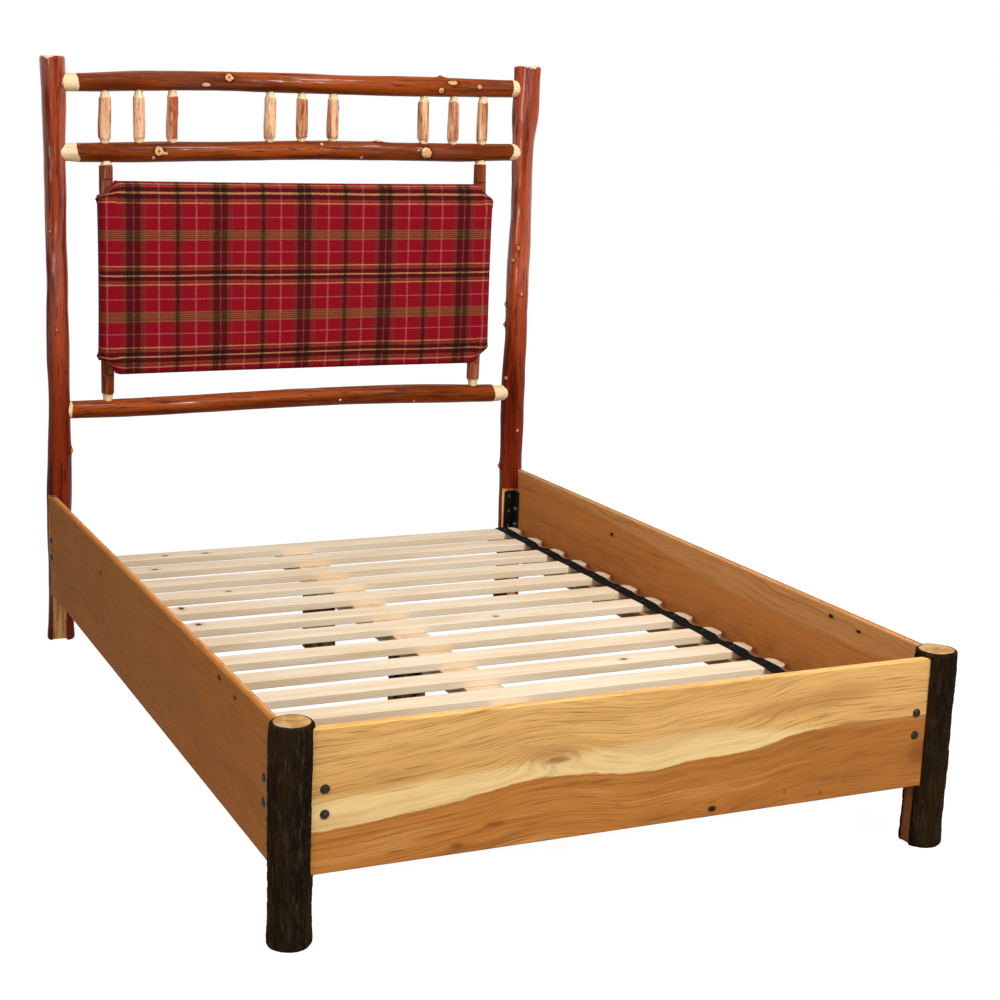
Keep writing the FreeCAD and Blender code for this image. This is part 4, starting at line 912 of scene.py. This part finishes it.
def plaid_material():
    """Woven plaid: warp and weft bands crossed in a twill, with a soft nap."""
    made, shader, where = new_material("plaid cloth")
    size = sizes()
    twill_pitch = 0.0026
    uv = Wire(add(where.tree, "ShaderNodeUVMap", uv_map="cloth").outputs[0])
    x, y, _ = parts(uv)
    drift = (noise(joined(x * 3.0, y * 3.0), 1.0) - 0.5) * 0.006
    loose = noise(joined(x * 420.0, y * 420.0), 1.0, 1.0) - 0.5
    across = (x + (drift + loose * 0.012) - 0.087) / size.sett_width
    up = (y + (drift + loose * 0.0045) - 0.030) / size.sett_height
    threads = use(sett_effect(), Across=across, Up=up)
    twill = calc("SINE", (x + y) * (2 * math.pi / twill_pitch))
    colour = mixed(twill * 0.16 + 0.52, threads["Warp"], threads["Weft"])
    # A dark band shows through the threads that cross it
    for band, share in ((threads["Warp"], 0.55), (threads["Weft"], 0.45)):
        grey = Wire(add(band.tree, "ShaderNodeRGBToBW", {"Color": band}).outputs[0])
        colour = mixed(step_up(grey, 0.030, 0.010, 0, share), colour, (0.002, 0.001, 0.001))
    nap = noise(joined(x * 500.0, y * 500.0), 1.0, 2.0, 0.6)
    slub = noise(joined(x * 40.0, y * 900.0), 1.0)
    colour = painted(colour, (step_up(nap, 0.35, 0.75, 0, 0.14), srgb(170, 50, 56)),
                     (step_up(slub, 0.5, 0.8, 0, 0.22), srgb(60, 10, 16)))
    fill(shader, {"Base Color": colour, "Roughness": 0.92, "Specular IOR Level": 0.08, "Sheen Weight": 0.07,
                  "Sheen Roughness": 0.45, "Sheen Tint": (*srgb(230, 150, 150), 1),
                  "Normal": bump(twill * 0.35 + nap, 0.3, 0.0006)})
    return made


def webbing_material():
    made, shader, where = new_material("webbing")
    rib_pitch, pick_pitch = 0.003, 0.0022
    x, y, _ = parts(where)
    weave = calc("SINE", x * (2 * math.pi / rib_pitch)) * calc("SINE", y * (2 * math.pi / pick_pitch))
    fuzz = noise(where, 900.0, 2.0)
    colour = mixed(step_up(weave, -0.6, 0.9), srgb(9, 8, 9), srgb(26, 24, 25))
    colour = mixed(step_up(fuzz, 0.55, 0.8, 0, 0.4), colour, srgb(48, 46, 46))
    fill(shader, {"Base Color": colour, "Roughness": 0.9, "Specular IOR Level": 0.08,
                  "Normal": bump(weave + fuzz, 0.5, 0.0005)})
    return made


def metal_material(name, base, worn, metallic, roughness, dents, depth=0.0008):
    made, shader, where = new_material(name)
    wear = use(scuff_effect(), Vector=where, Size=dents)
    fill(shader, {"Base Color": mixed(wear["Wear"] * 0.5, base, worn), "Metallic": metallic,
                  "Roughness": step_up(wear["Wear"], 0, 1, roughness, roughness * 0.7),
                  "Normal": bump(wear["Dents"], 0.6, depth)})
    return made


def dress(material, *names):
    """Gives CAD nodes their material."""
    for name in names:
        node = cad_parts[name]
        if not node.material_slots:
            node.data.materials.append(material)
        for slot in node.material_slots:
            slot.material = material


# ---------------------------------------------------------------- pieces

class LOGBED_OT_head_posts(bpy.types.Operator):
    """Peeled head posts with knots, flared feet and flats where the planks meet them"""
    bl_idname = "logbed.head_posts"
    bl_label = "Head Posts"

    def execute(self, context):
        tone = colours()
        material = peeled_material("peeled post", tone.post_light, tone.post_dark, tone.streak, (85, 85, 5),
                                   heart=(HEAD_X, HEAD_Y), streaking=0.85, gloss=0.30,
                                   knot_tone=srgb(206, 128, 84), low_tone=srgb(160, 112, 84), coat=1.0,
                                   worn_from=0.43)
        inner, face, outer = HEAD_SEAT_X
        for side, sign in (("left", -1), ("right", 1)):
            log = dict(HEAD_POSTS[side], rim=0.006, rough_ends=True, roughness=1.9, chips=0.007)
            cuts = ((between(sign, face, outer), SEAT_LOW, SEAT_HIGH),
                    (between(sign, inner, face), SEAT_LOW, HEAD_INNER_SEAT_HIGH),
                    (between(sign, *HEAD_GROOVE_X), BELOW_FLOOR, PLANK_BOTTOM))
            log["flats"] = [(1, HEAD_SEAT_Y, -1, (low, 0, bottom), (high, FAR, top))
                            for (low, high), bottom, top in cuts]
            build_log("peeled_head_post_" + side, log, sizes().head_post_radius, log["height"],
                      upright(sign * HEAD_X, HEAD_Y, 0), 96, 0.004, material,
                      "head_post_" + side)
        return {"FINISHED"}


class LOGBED_OT_headboard_rails(bpy.types.Operator):
    """Three bowed peeled rails whose whittled ends run into the posts"""
    bl_idname = "logbed.headboard_rails"
    bl_label = "Headboard Rails"

    def execute(self, context):
        size, tone = sizes(), colours()
        tones = (tone.rail_light, tone.rail_dark, tone.streak, (6, 90, 90))
        upper = peeled_material("peeled rail", *tones, streaking=0.65, gloss=0.26,
                                knot_tone=srgb(226, 184, 124))
        lower = peeled_material("peeled lower rail", *tones, streaking=0.9, gloss=0.34)
        for key, log in HEADBOARD_RAILS.items():
            node = f"headboard_{key}_rail"
            low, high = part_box(node)
            length = high.x - low.x
            body = size.rail_body

            def spread(stations):
                """Shares of the body's length as shares of the whole log's."""
                return [((x * 2 - 1) * body / (length / 2) / 2 + 0.5, y) for x, y in stations]

            shape, bow = spread(log["shape"]), spread(log["bow"])
            ends = [length / 2 - body + gap for gap in log["bare"]]
            made = dict(shape=[(0, shape[0][1]), *shape, (1, shape[-1][1])],
                        drift=[(0, 0), *bow, (1, 0)], bows=True, seed=log["seed"], roughness=1.0,
                        knots=[(x + length / 2, *rest) for x, *rest in log["knots"]],
                        whittle=dict(tenon=size.rail_tenon, ends=ends, shoulder=0.007, cone_radius=0.0248,
                                     cone=0.026))
            rise = 0 if key == "lower" else UPPER_RAIL_RISE
            build_log(f"peeled_{key}_rail", made, size.rail_radius, length,
                      lying(length, HEAD_Y, RAIL_LEVELS[key], rise), 80, 0.003,
                      lower if key == "lower" else upper, node)
        return {"FINISHED"}


class LOGBED_OT_spindles(bpy.types.Operator):
    """Nine short peeled spindles in three groups"""
    bl_idname = "logbed.spindles"
    bl_label = "Spindles"

    def execute(self, context):
        size, tone = sizes(), colours()
        material = peeled_material("peeled spindle", tone.spindle_light, tone.spindle_dark, srgb(140, 66, 36),
                                   (190, 190, 20), streaking=0.95, gloss=0.26, checks=0.4, coat=0.8)
        for number in range(1, 10):
            node = f"spindle_{number}"
            low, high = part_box(node)
            length = high.z - low.z
            rng = np.random.default_rng(40 + number)
            knots = [(rng.uniform(0.3, 0.7) * length, rng.uniform(-0.1, 0.25), 0.0042, 0.0012)]
            drift = ((0, 0), (0.3, rng.uniform(-0.1, 0.1)), (0.7, rng.uniform(-0.1, 0.1)), (1, 0))
            log = dict(shape=SPINDLE_SHAPE, drift=drift, knots=knots, seed=40 + number, roughness=1.5,
                       whittle=dict(tenon=size.spindle_tenon, ends=(0.025, 0.032), shoulder=0.004,
                                    cone_radius=0.0132, cone=0.016))
            build_log("peeled_" + node, log, size.spindle_radius, length,
                      upright((low.x + high.x) / 2, HEAD_Y, low.z), 48, 0.002, material, node)
        return {"FINISHED"}


class LOGBED_OT_stiles(bpy.types.Operator):
    """Two peeled stiles behind the panel, flat where its board is screwed on"""
    bl_idname = "logbed.stiles"
    bl_label = "Panel Stiles"

    def execute(self, context):
        size = sizes()
        board_low, board_high = 0.732, 1.258
        material = peeled_material("peeled stile", srgb(172, 90, 48), srgb(120, 50, 26), colours().streak,
                                   (95, 95, 7), streaking=0.7, gloss=0.34)
        for side in ("left", "right"):
            node = "panel_stile_" + side
            low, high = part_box(node)
            length = high.z - low.z
            flat = (1, PANEL_BACK, -1, (-FAR, 0, board_low), (FAR, FAR, board_high))
            log = dict(shape=STILE_SHAPE, drift=((0, 0), (0.5, 0.08), (1, 0)), seed=60 + len(side),
                       roughness=1.4, knots=((0.57, 0.8, 0.004, 0.002), (0.3, 0.25, 0.006, 0.002)),
                       flats=(flat,), bare_flats=0,
                       whittle=dict(tenon=size.stile_tenon, ends=(0.034, 0.025), shoulder=0.004,
                                    cone_radius=0.0152, cone=0.018))
            build_log("peeled_stile_" + side, log, size.stile_radius, length,
                      upright((low.x + high.x) / 2, HEAD_Y, low.z), 56, 0.003, material, node)
        return {"FINISHED"}


CORNERS = tuple((x, z) for x in (-1, 1) for z in (-1, 1))


def panel_distance(x, z, half_width, half_height, cut_along, cut_up):
    """Smooth distance inside the clipped outline, and the way out from there."""
    blend = 0.0025
    slant = math.hypot(cut_along, cut_up)
    edges = [((sx, 0), half_width) for sx in (-1, 1)] + [((0, sz), half_height) for sz in (-1, 1)]
    for sx, sz in CORNERS:
        nx, nz = sx * cut_up / slant, sz * cut_along / slant
        edges.append(((nx, nz), abs(nx) * half_width + abs(nz) * (half_height - cut_up)))
    normals = np.array([normal for normal, _ in edges])
    reaches = np.array([reach for _, reach in edges])
    far = reaches[:, None] - normals @ np.stack((x, z))
    nearest = far.min(0)
    weight = np.exp(-(far - nearest) / blend)
    inside = nearest - blend * np.log(weight.sum(0))
    way = (weight[:, :, None] * normals[:, None, :]).sum(0)
    way /= np.maximum(np.linalg.norm(way, axis=1), 1e-9)[:, None]
    return inside, way


class LOGBED_OT_panel(bpy.types.Operator):
    """Padded plaid panel: cloth drawn over the board's edges and tucked on its back"""
    bl_idname = "logbed.panel"
    bl_label = "Plaid Panel"

    def execute(self, context):
        size = sizes()
        dress(plywood_material(), "panel_board")
        half_width, half_height = size.panel_half_width, size.panel_half_height
        cut_along, cut_up = size.panel_corner_along, size.panel_corner_up
        # The cloth rolls over the edge, runs straight back along the board and turns in on its back
        side_start = 0.9405
        side_length = PANEL_BACK + 0.0006 - side_start
        lip = 0.024
        roll_flat, roll_deep = 0.048, 0.036
        spare = roll_flat - roll_deep
        reach = spare + side_length + lip
        pitch = 0.006
        bm = bmesh.new()
        columns = round(2 * (half_width + reach) / pitch)
        rows = round(2 * (half_height + reach) / pitch)
        bmesh.ops.create_grid(bm, x_segments=columns, y_segments=rows, size=1)
        flat = np.array([v.co for v in bm.verts])
        x = flat[:, 0] * (half_width + reach)
        z = flat[:, 1] * (half_height + reach)
        inside, way = panel_distance(x, z, half_width, half_height, cut_along, cut_up)
        keep = inside > -reach - pitch * 0.7
        bmesh.ops.delete(bm, geom=[v for v, kept in zip(bm.verts, keep) if not kept], context="VERTS")
        x, z, inside, way = x[keep], z[keep], inside[keep], way[keep]
        clamped = np.maximum(inside, -reach)
        x, z = x + way[:, 0] * (inside - clamped), z + way[:, 1] * (inside - clamped)
        inside = clamped
        power = 2.4
        angle = np.clip((inside + spare) / roll_flat, 0, 1) * math.pi / 2
        from_edge = roll_deep * (1 - np.cos(angle) ** (2 / power))
        deep = (side_start - size.panel_front) * np.sin(angle) ** (2 / power)
        back = np.clip(-spare - inside, 0, side_length)
        tuck = np.clip(-spare - side_length - inside, 0, None)
        move = inside - np.where(inside >= roll_deep, inside, from_edge)
        px = x + way[:, 0] * move
        pz = z + way[:, 1] * move
        px -= way[:, 0] * tuck
        pz -= way[:, 1] * tuck
        py = side_start - deep + back
        # The sides and the clipped corners draw in a little between their ends
        edge = np.clip(1 - np.maximum(inside, 0) / 0.10, 0, 1)
        px *= 1 - 0.0030 / half_width * edge * (1 - (pz / half_height) ** 2) * np.abs(way[:, 0])
        pz *= 1 - 0.0022 / half_height * edge * (1 - (px / half_width) ** 2) * np.abs(way[:, 1])
        for corner_x, corner_z in CORNERS:
            ax = px - corner_x * (half_width - cut_along / 2)
            az = pz - corner_z * (half_height - cut_up / 2)
            pull = 0.0040 * np.exp(-(ax * ax + az * az) / 0.018 ** 2)
            px -= corner_x * 0.66 * pull
            pz -= corner_z * 0.75 * pull
        # Pulls fan out from the corners' ends and run in from the tacks along the edges
        rng = np.random.default_rng(5)
        pulls = np.zeros(len(x))
        for corner_x, corner_z in CORNERS:
            for cx, cz in ((half_width - cut_along, half_height), (half_width, half_height - cut_up)):
                ax, az = x - corner_x * cx, z - corner_z * cz
                distance = np.hypot(ax, az)
                heading = np.arctan2(az, ax)
                pulls += 0.0011 * np.cos(heading * 9 + rng.uniform(0, 6)) * np.exp(-distance / 0.040) \
                    * np.clip(distance / 0.012, 0, 1)
        tacks = 0.0007 * np.cos(x * 2 * math.pi / 0.055 + 1.3 * np.sin(x * 9)) \
            * np.exp(-np.abs(np.abs(z) - half_height) / 0.035)
        tacks += 0.0006 * np.cos(z * 2 * math.pi / 0.050) * np.exp(-np.abs(np.abs(x) - half_width) / 0.035)
        py += (pulls + tacks) * ease((inside + spare) / 0.05)
        move_points(bm, px, py, pz + PANEL_HEIGHT)
        # The cloth's own flat coordinates, in metres from the panel's upper left corner
        layer = bm.loops.layers.uv.new("cloth")
        bm.verts.index_update()
        for face in bm.faces:
            for loop in face.loops:
                index = loop.vert.index
                loop[layer].uv = (x[index] + half_width, half_height - z[index])
        # Close the form inside the board
        rim = [e for e in bm.edges if e.is_boundary]
        grown = bmesh.ops.extrude_edge_only(bm, edges=rim)["geom"]
        for vertex in (g for g in grown if isinstance(g, bmesh.types.BMVert)):
            vertex.co.y = PANEL_BACK - 0.006
        bmesh.ops.triangle_fill(bm, edges=[e for e in bm.edges if e.is_boundary], use_beauty=False)
        bmesh.ops.recalc_face_normals(bm, faces=bm.faces)
        free = np.zeros(len(bm.verts))
        free[:len(inside)] = ease((inside - 0.004) / 0.03)
        piece = finished(bm, "plaid_cushion", "bed_frame", plaid_material(), "panel_cushion",
                         angle=0)
        settle_cloth(piece, free)
        return {"FINISHED"}


def settle_cloth(piece, free):
    """Lets the padding press the cloth outwards, with its edges held, and keeps the result."""
    last_frame = 16
    farthest = 0.004
    mesh = piece.data
    start = np.empty(len(mesh.vertices) * 3)
    mesh.vertices.foreach_get("co", start)
    pinned = piece.vertex_groups.new(name="held")
    for index, share in enumerate(free):
        if share < 1:
            pinned.add([index], float(1 - share), "REPLACE")
    cloth = piece.modifiers.new("Cloth", "CLOTH")
    settings = cloth.settings
    settings.quality = 6
    settings.mass = 0.25
    settings.tension_stiffness = 12
    settings.compression_stiffness = 12
    settings.shear_stiffness = 6
    settings.bending_stiffness = 0.6
    settings.use_pressure = True
    settings.uniform_pressure_force = 3.0
    settings.vertex_group_mass = "held"
    settings.effector_weights.gravity = 0
    cloth.collision_settings.use_collision = False
    scene = bpy.context.scene
    cloth.point_cache.frame_start = 1
    cloth.point_cache.frame_end = last_frame
    for number in range(1, last_frame + 1):
        scene.frame_set(number)
    shaped = piece.evaluated_get(bpy.context.evaluated_depsgraph_get())
    result = np.empty(len(mesh.vertices) * 3)
    shaped.data.vertices.foreach_get("co", result)
    piece.modifiers.remove(cloth)
    scene.frame_set(1)
    moved = (result - start).reshape(-1, 3)
    far = np.linalg.norm(moved, axis=1)
    moved *= (np.minimum(far, farthest) / np.maximum(far, 1e-9))[:, None]
    moved *= free[:, None]
    mesh.vertices.foreach_set("co", (start.reshape(-1, 3) + moved).ravel())
    mesh.update()


class LOGBED_OT_planks(bpy.types.Operator):
    """Finishes the two side rails and the footboard"""
    bl_idname = "logbed.planks"
    bl_label = "Planks"

    def execute(self, context):
        dress(footboard_material(), "footboard_plank")
        dress(side_rail_material(), "side_rail_left", "side_rail_right")
        return {"FINISHED"}


class LOGBED_OT_foot_posts(bpy.types.Operator):
    """Foot posts with ridged bark and sawn, cracked tops"""
    bl_idname = "logbed.foot_posts"
    bl_label = "Foot Posts"

    def execute(self, context):
        size, tone = sizes(), colours()
        material = bark_material("bark", tone.bark, tone.bark_flecks)
        for side, sign in (("left", -1), ("right", 1)):
            groove_low, groove_high = between(sign, *FOOT_GROOVE_X)
            inner_low, inner_high = between(sign, *FOOT_SEAT_X)
            inner = sign * FOOT_SEAT_X[1]
            flats = (
                (1, FOOT_SEAT_Y, 1, (-FAR, -FAR, SEAT_LOW), (FAR, 0, SEAT_HIGH)),
                (1, FOOT_SEAT_Y, 1, (groove_low, -FAR, BELOW_FLOOR), (groove_high, 0, SEAT_HIGH)),
                (0, inner, -sign, (inner_low, -FAR, SEAT_LOW), (inner_high, 0, SEAT_HIGH)),
                (0, inner, -sign, (inner_low, FOOT_GROOVE_Y[0], BELOW_FLOOR),
                 (inner_high, FOOT_GROOVE_Y[1], SEAT_HIGH)))
            log = dict(shape=FOOT_SHAPE, flats=flats, seed=70 + sign, ridges=(42, size.bark_ridge), rim=0.006,
                       rough_ends=True, roughness=0.9, drift=((0, 0), (0.5, 0.02 * sign), (1, 0)))
            build_log("bark_foot_post_" + side, log, size.foot_post_radius, size.foot_post_height,
                      upright(sign * FOOT_X, FOOT_Y, 0), 150, 0.003, material,
                      "foot_post_" + side)
        return {"FINISHED"}


class LOGBED_OT_centre_legs(bpy.types.Operator):
    """Two bark-covered legs below the beam"""
    bl_idname = "logbed.centre_legs"
    bl_label = "Centre Legs"

    def execute(self, context):
        size = sizes()
        material = bark_material("leg bark", srgb(150, 120, 88), srgb(186, 156, 120))
        for number, node in enumerate(("centre_leg_front", "centre_leg_back")):
            low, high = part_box(node)
            log = dict(shape=LEG_SHAPE, seed=80 + number, ridges=(30, size.bark_ridge * 0.9), roughness=0.8)
            build_log("bark_" + node, log, size.leg_radius, size.leg_height,
                      upright((low.x + high.x) / 2, (low.y + high.y) / 2, 0), 120, 0.003, material,
                      node)
        return {"FINISHED"}


def slat_names():
    return [f"slat_{number:02d}" for number in range(1, SLAT_COUNT + 1)]


class LOGBED_OT_deck(bpy.types.Operator):
    """Finishes the fourteen pine slats and their staples"""
    bl_idname = "logbed.deck"
    bl_label = "Slats"

    def execute(self, context):
        dress(board_material("slat pine", colours().slat, srgb(212, 176, 128), False, 60.0, SLAT_KNOTS,
                             contrast=0.40), *slat_names())
        dress(metal_material("staple wire", srgb(150, 150, 150), srgb(90, 88, 84), 1.0, 0.4, 500.0),
              "strap_staples")
        return {"FINISHED"}


class LOGBED_OT_straps(bpy.types.Operator):
    """Webbing that ties the slats and sags between them"""
    bl_idname = "logbed.straps"
    bl_label = "Webbing Straps"

    def execute(self, context):
        size = sizes()
        thickness = 0.0014
        material = webbing_material()
        slats = [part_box(name) for name in slat_names()]
        edges = sorted(((low.y, high.y) for low, high in slats), reverse=True)
        for number, side in enumerate(("left", "right")):
            node = "slat_strap_" + side
            low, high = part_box(node)
            bm = bmesh.new()
            bmesh.ops.create_grid(bm, x_segments=8, y_segments=460, size=1)
            points = np.array([v.co for v in bm.verts])
            y = (low.y + high.y) / 2 + points[:, 1] * (high.y - low.y) / 2
            rng = np.random.default_rng(90 + number)
            sag = np.zeros(len(y))
            sway = np.zeros(len(y))
            for (front, _), (_, back) in zip(edges[:-1], edges[1:]):
                # front is the nearer edge of the slat at the head side, back the farther edge of the next
                span = np.clip((y - back) / (front - back), 0, 1)
                hang = np.sin(span * math.pi)
                sag += size.strap_sag * rng.uniform(0.7, 1.25) * hang ** 1.3
                sway += 0.0035 * rng.uniform(-1, 1) * hang
            pinch = 1 - 0.16 * np.clip(sag / size.strap_sag, 0, 1) + 0.05 * np.sin(y * 47 + number)
            x = (low.x + high.x) / 2 + points[:, 0] * size.strap_width / 2 * pinch + sway
            curl = 0.0006 * np.cos(points[:, 0] * math.pi) * np.sin(y * 60 + number)
            z = SLAT_TOP + 0.0002 - sag * (1 - 0.12 * points[:, 0] * rng.uniform(-1, 1)) + np.abs(curl) * 0.5
            move_points(bm, x, y, z)
            bmesh.ops.recalc_face_normals(bm, faces=bm.faces)
            bmesh.ops.solidify(bm, geom=bm.faces[:], thickness=-thickness)
            bmesh.ops.recalc_face_normals(bm, faces=bm.faces)
            finished(bm, "webbing_" + side, "slat_deck", material, node)
        return {"FINISHED"}


class LOGBED_OT_understructure(bpy.types.Operator):
    """Finishes the ledgers, the centre beam and its cleat"""
    bl_idname = "logbed.understructure"
    bl_label = "Ledgers and Beam"

    def execute(self, context):
        dress(board_material("ledger wood", colours().ledger, srgb(132, 92, 56), True, 90.0, contrast=0.5,
                             seed=5.0), "ledger_left", "ledger_right")
        dress(board_material("beam pine", srgb(226, 200, 166), srgb(180, 138, 94), True, 120.0, contrast=0.45,
                             seed=9.0), "centre_beam", "beam_cleat")
        return {"FINISHED"}


def hammered_bolts(material):
    """Bolts with low hammered heads, in place of the plain ones."""
    head_radius, shank_radius = 0.0092, 0.004
    seats = {node: [(side * RAIL_OUTER_FACE, y, z) for side in (-1, 1) for z in RAIL_BOLT_LEVELS]
             for node, y in (("rail_bolts_head", HEAD_BOLTS_Y), ("rail_bolts_foot", FOOT_BOLTS_Y))}
    seats["footboard_bolts"] = [(side * FOOTBOARD_BOLTS_X, -FOOTBOARD_OUTER_FACE, z) for side in (-1, 1)
                                for z in FOOTBOARD_BOLT_LEVELS]
    for number, (node, places) in enumerate(seats.items()):
        rng = np.random.default_rng(100 + number)
        spots = np.array([v.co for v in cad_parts[node].data.vertices])
        bm = bmesh.new()
        for seat in places:
            if node == "footboard_bolts":
                outward, reach = Vector((0, -1, 0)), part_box(node)[1].y + FOOTBOARD_OUTER_FACE
            else:
                outward = Vector((math.copysign(1, seat[0]), 0, 0))
                reach = RAIL_OUTER_FACE - np.abs(spots[:, 0]).min()
            turn = outward.to_track_quat("Z", "Y").to_matrix().to_4x4()
            turn = turn @ Matrix.Rotation(rng.uniform(0, 6.28), 4, "Z")
            head = bmesh.ops.create_uvsphere(bm, u_segments=11, v_segments=8, radius=head_radius)["verts"]
            for vertex in head:
                vertex.co.z = max(vertex.co.z, -0.0004) * 0.60
                if vertex.co.z > 0.001:
                    vertex.co *= 1 + rng.uniform(-0.045, 0.03)
            shank = bmesh.ops.create_cone(bm, cap_ends=True, segments=20, radius1=shank_radius,
                                          radius2=shank_radius, depth=reach,
                                          matrix=Matrix.Translation((0, 0, -reach / 2)))["verts"]
            bmesh.ops.transform(bm, matrix=Matrix.Translation(seat) @ turn, verts=head + shank)
        bmesh.ops.recalc_face_normals(bm, faces=bm.faces)
        finished(bm, "hammered_" + node, "bed_frame", material, node, angle=14)


class LOGBED_OT_hardware(bpy.types.Operator):
    """Finishes brackets, bolts, nuts and screws"""
    bl_idname = "logbed.hardware"
    bl_label = "Hardware"

    def execute(self, context):
        black = metal_material("black steel", srgb(24, 22, 22), srgb(58, 52, 46), 0.6, 0.45, 900.0, 0.0003)
        oxide = metal_material("bolt steel", srgb(42, 33, 28), srgb(98, 84, 72), 0.85, 0.38, 330.0, 0.0016)
        zinc = metal_material("zinc steel", srgb(128, 128, 108), srgb(84, 78, 60), 0.9, 0.36, 700.0)
        dress(black, "foot_corner_brackets", "footboard_brackets", "head_corner_brackets")
        hammered_bolts(oxide)
        dress(zinc, "bolt_nuts", "bracket_screws", "ledger_screws", "beam_screws", "panel_screws")
        return {"FINISHED"}


# ---------------------------------------------------------------- stage

CAMERA_PLACE = (-1.6645, -3.7409, 1.4595)
CAMERA_YAW = 0.3987
CAMERA_PITCH = 0.206
CAMERA_ROLL = -0.0266
CAMERA_FOCAL_SHARE = 1.77477
CAMERA_SHIFT = (0.10, -0.02)
SENSOR_WIDTH = 36
FLOOR_HALF = 9
FLOOR_GLOW = 0.94
WORLD_LIGHT = 0.38


def area_light(name, place, target, size, power):
    lamp = bpy.data.lights.new(name, "AREA")
    lamp.shape = "RECTANGLE"
    lamp.size, lamp.size_y = size
    lamp.energy = power
    holder = bpy.data.objects.new(name, lamp)
    holder.location = place
    holder.rotation_euler = (Vector(target) - Vector(place)).to_track_quat("-Z", "Y").to_euler()
    bpy.context.scene.collection.objects.link(holder)


def seen_directly(tree):
    """1 for rays from the camera, from gloss and through glass."""
    path = wires(add(tree, "ShaderNodeLightPath").outputs)
    return calc("MAXIMUM", path["Is Camera Ray"],
                calc("MAXIMUM", path["Is Glossy Ray"], path["Is Transmission Ray"]))


class LOGBED_OT_stage(bpy.types.Operator):
    """White floor, soft lights and the camera"""
    bl_idname = "logbed.stage"
    bl_label = "Stage"

    def execute(self, context):
        scene = context.scene
        scene.view_settings.view_transform = "Standard"
        bm = bmesh.new()
        bmesh.ops.create_grid(bm, x_segments=4, y_segments=4, size=FLOOR_HALF)
        mesh = bpy.data.meshes.new("floor")
        bm.to_mesh(mesh)
        bm.free()
        floor = bpy.data.objects.new("floor", mesh)
        scene.collection.objects.link(floor)
        made, shader, where = new_material("studio floor")
        fill(shader, {"Base Color": (0.20, 0.20, 0.20, 1), "Roughness": 0.9, "Specular IOR Level": 0.0,
                      "Emission Color": (1, 1, 1, 1),
                      "Emission Strength": seen_directly(where.tree) * FLOOR_GLOW})
        mesh.materials.append(made)
        world = bpy.data.worlds.new("studio")
        scene.world = world
        world.use_nodes = True
        tree = world.node_tree
        fill(tree.nodes["Background"].inputs,
             {"Color": (1, 1, 1, 1), "Strength": seen_directly(tree) * (1 - WORLD_LIGHT) + WORLD_LIGHT})
        area_light("key", (1.5, -4.0, 3.2), (0, 0, 0.6), (0.5, 1.8), 130)
        area_light("top", (0.3, -0.9, 3.6), (0, 0.1, 0.3), (2.4, 0.7), 60)
        area_light("fill", (-3.3, -2.4, 1.55), (0, 0, 0.7), (1.3, 1.8), 38)
        camera = bpy.data.cameras.new("photograph")
        camera.sensor_width = SENSOR_WIDTH
        camera.lens = CAMERA_FOCAL_SHARE * SENSOR_WIDTH
        camera.shift_x, camera.shift_y = CAMERA_SHIFT
        holder = bpy.data.objects.new("photograph", camera)
        yaw, pitch, roll = CAMERA_YAW, CAMERA_PITCH, CAMERA_ROLL
        ahead = Vector((math.sin(yaw) * math.cos(pitch), math.cos(yaw) * math.cos(pitch), -math.sin(pitch)))
        right = Vector((math.cos(yaw), -math.sin(yaw), 0))
        down = ahead.cross(right)
        right, down = (math.cos(roll) * right + math.sin(roll) * down,
                       -math.sin(roll) * right + math.cos(roll) * down)
        turn = Matrix((right, -down, -ahead)).transposed().to_4x4()
        holder.matrix_world = Matrix.Translation(CAMERA_PLACE) @ turn
        scene.collection.objects.link(holder)
        scene.camera = holder
        return {"FINISHED"}


# In the order in which they build the bed
OPERATORS = (LOGBED_OT_head_posts, LOGBED_OT_headboard_rails, LOGBED_OT_spindles, LOGBED_OT_stiles,
             LOGBED_OT_panel, LOGBED_OT_planks, LOGBED_OT_foot_posts, LOGBED_OT_centre_legs, LOGBED_OT_deck,
             LOGBED_OT_straps, LOGBED_OT_understructure, LOGBED_OT_hardware, LOGBED_OT_stage)


class LOGBED_PT_panel(bpy.types.Panel):
    """Lists the bed's pieces, sizes and colours"""
    bl_idname = "LOGBED_PT_panel"
    bl_label = "Log Bed"
    bl_space_type = "VIEW_3D"
    bl_region_type = "UI"
    bl_category = "Log Bed"

    def draw(self, context):
        for operator in OPERATORS:
            self.layout.operator(operator.bl_idname)
        for group in (context.scene.log_bed_sizes, context.scene.log_bed_colours):
            column = self.layout.column()
            for label in type(group).__annotations__:
                column.prop(group, label)


CLASSES = (LogBedSizes, LogBedColours, *OPERATORS, LOGBED_PT_panel)


def register():
    for made in CLASSES:
        bpy.utils.register_class(made)
    bpy.types.Scene.log_bed_sizes = PointerProperty(type=LogBedSizes)
    bpy.types.Scene.log_bed_colours = PointerProperty(type=LogBedColours)


def unregister():
    del bpy.types.Scene.log_bed_colours
    del bpy.types.Scene.log_bed_sizes
    for made in reversed(CLASSES):
        bpy.utils.unregister_class(made)


def main():
    register()
    steps = bpy.ops.logbed
    steps.head_posts()
    steps.headboard_rails()
    steps.spindles()
    steps.stiles()
    steps.panel()
    steps.planks()
    steps.foot_posts()
    steps.centre_legs()
    steps.deck()
    steps.straps()
    steps.understructure()
    steps.hardware()
    steps.stage()


if __name__ == "__main__":
    main()
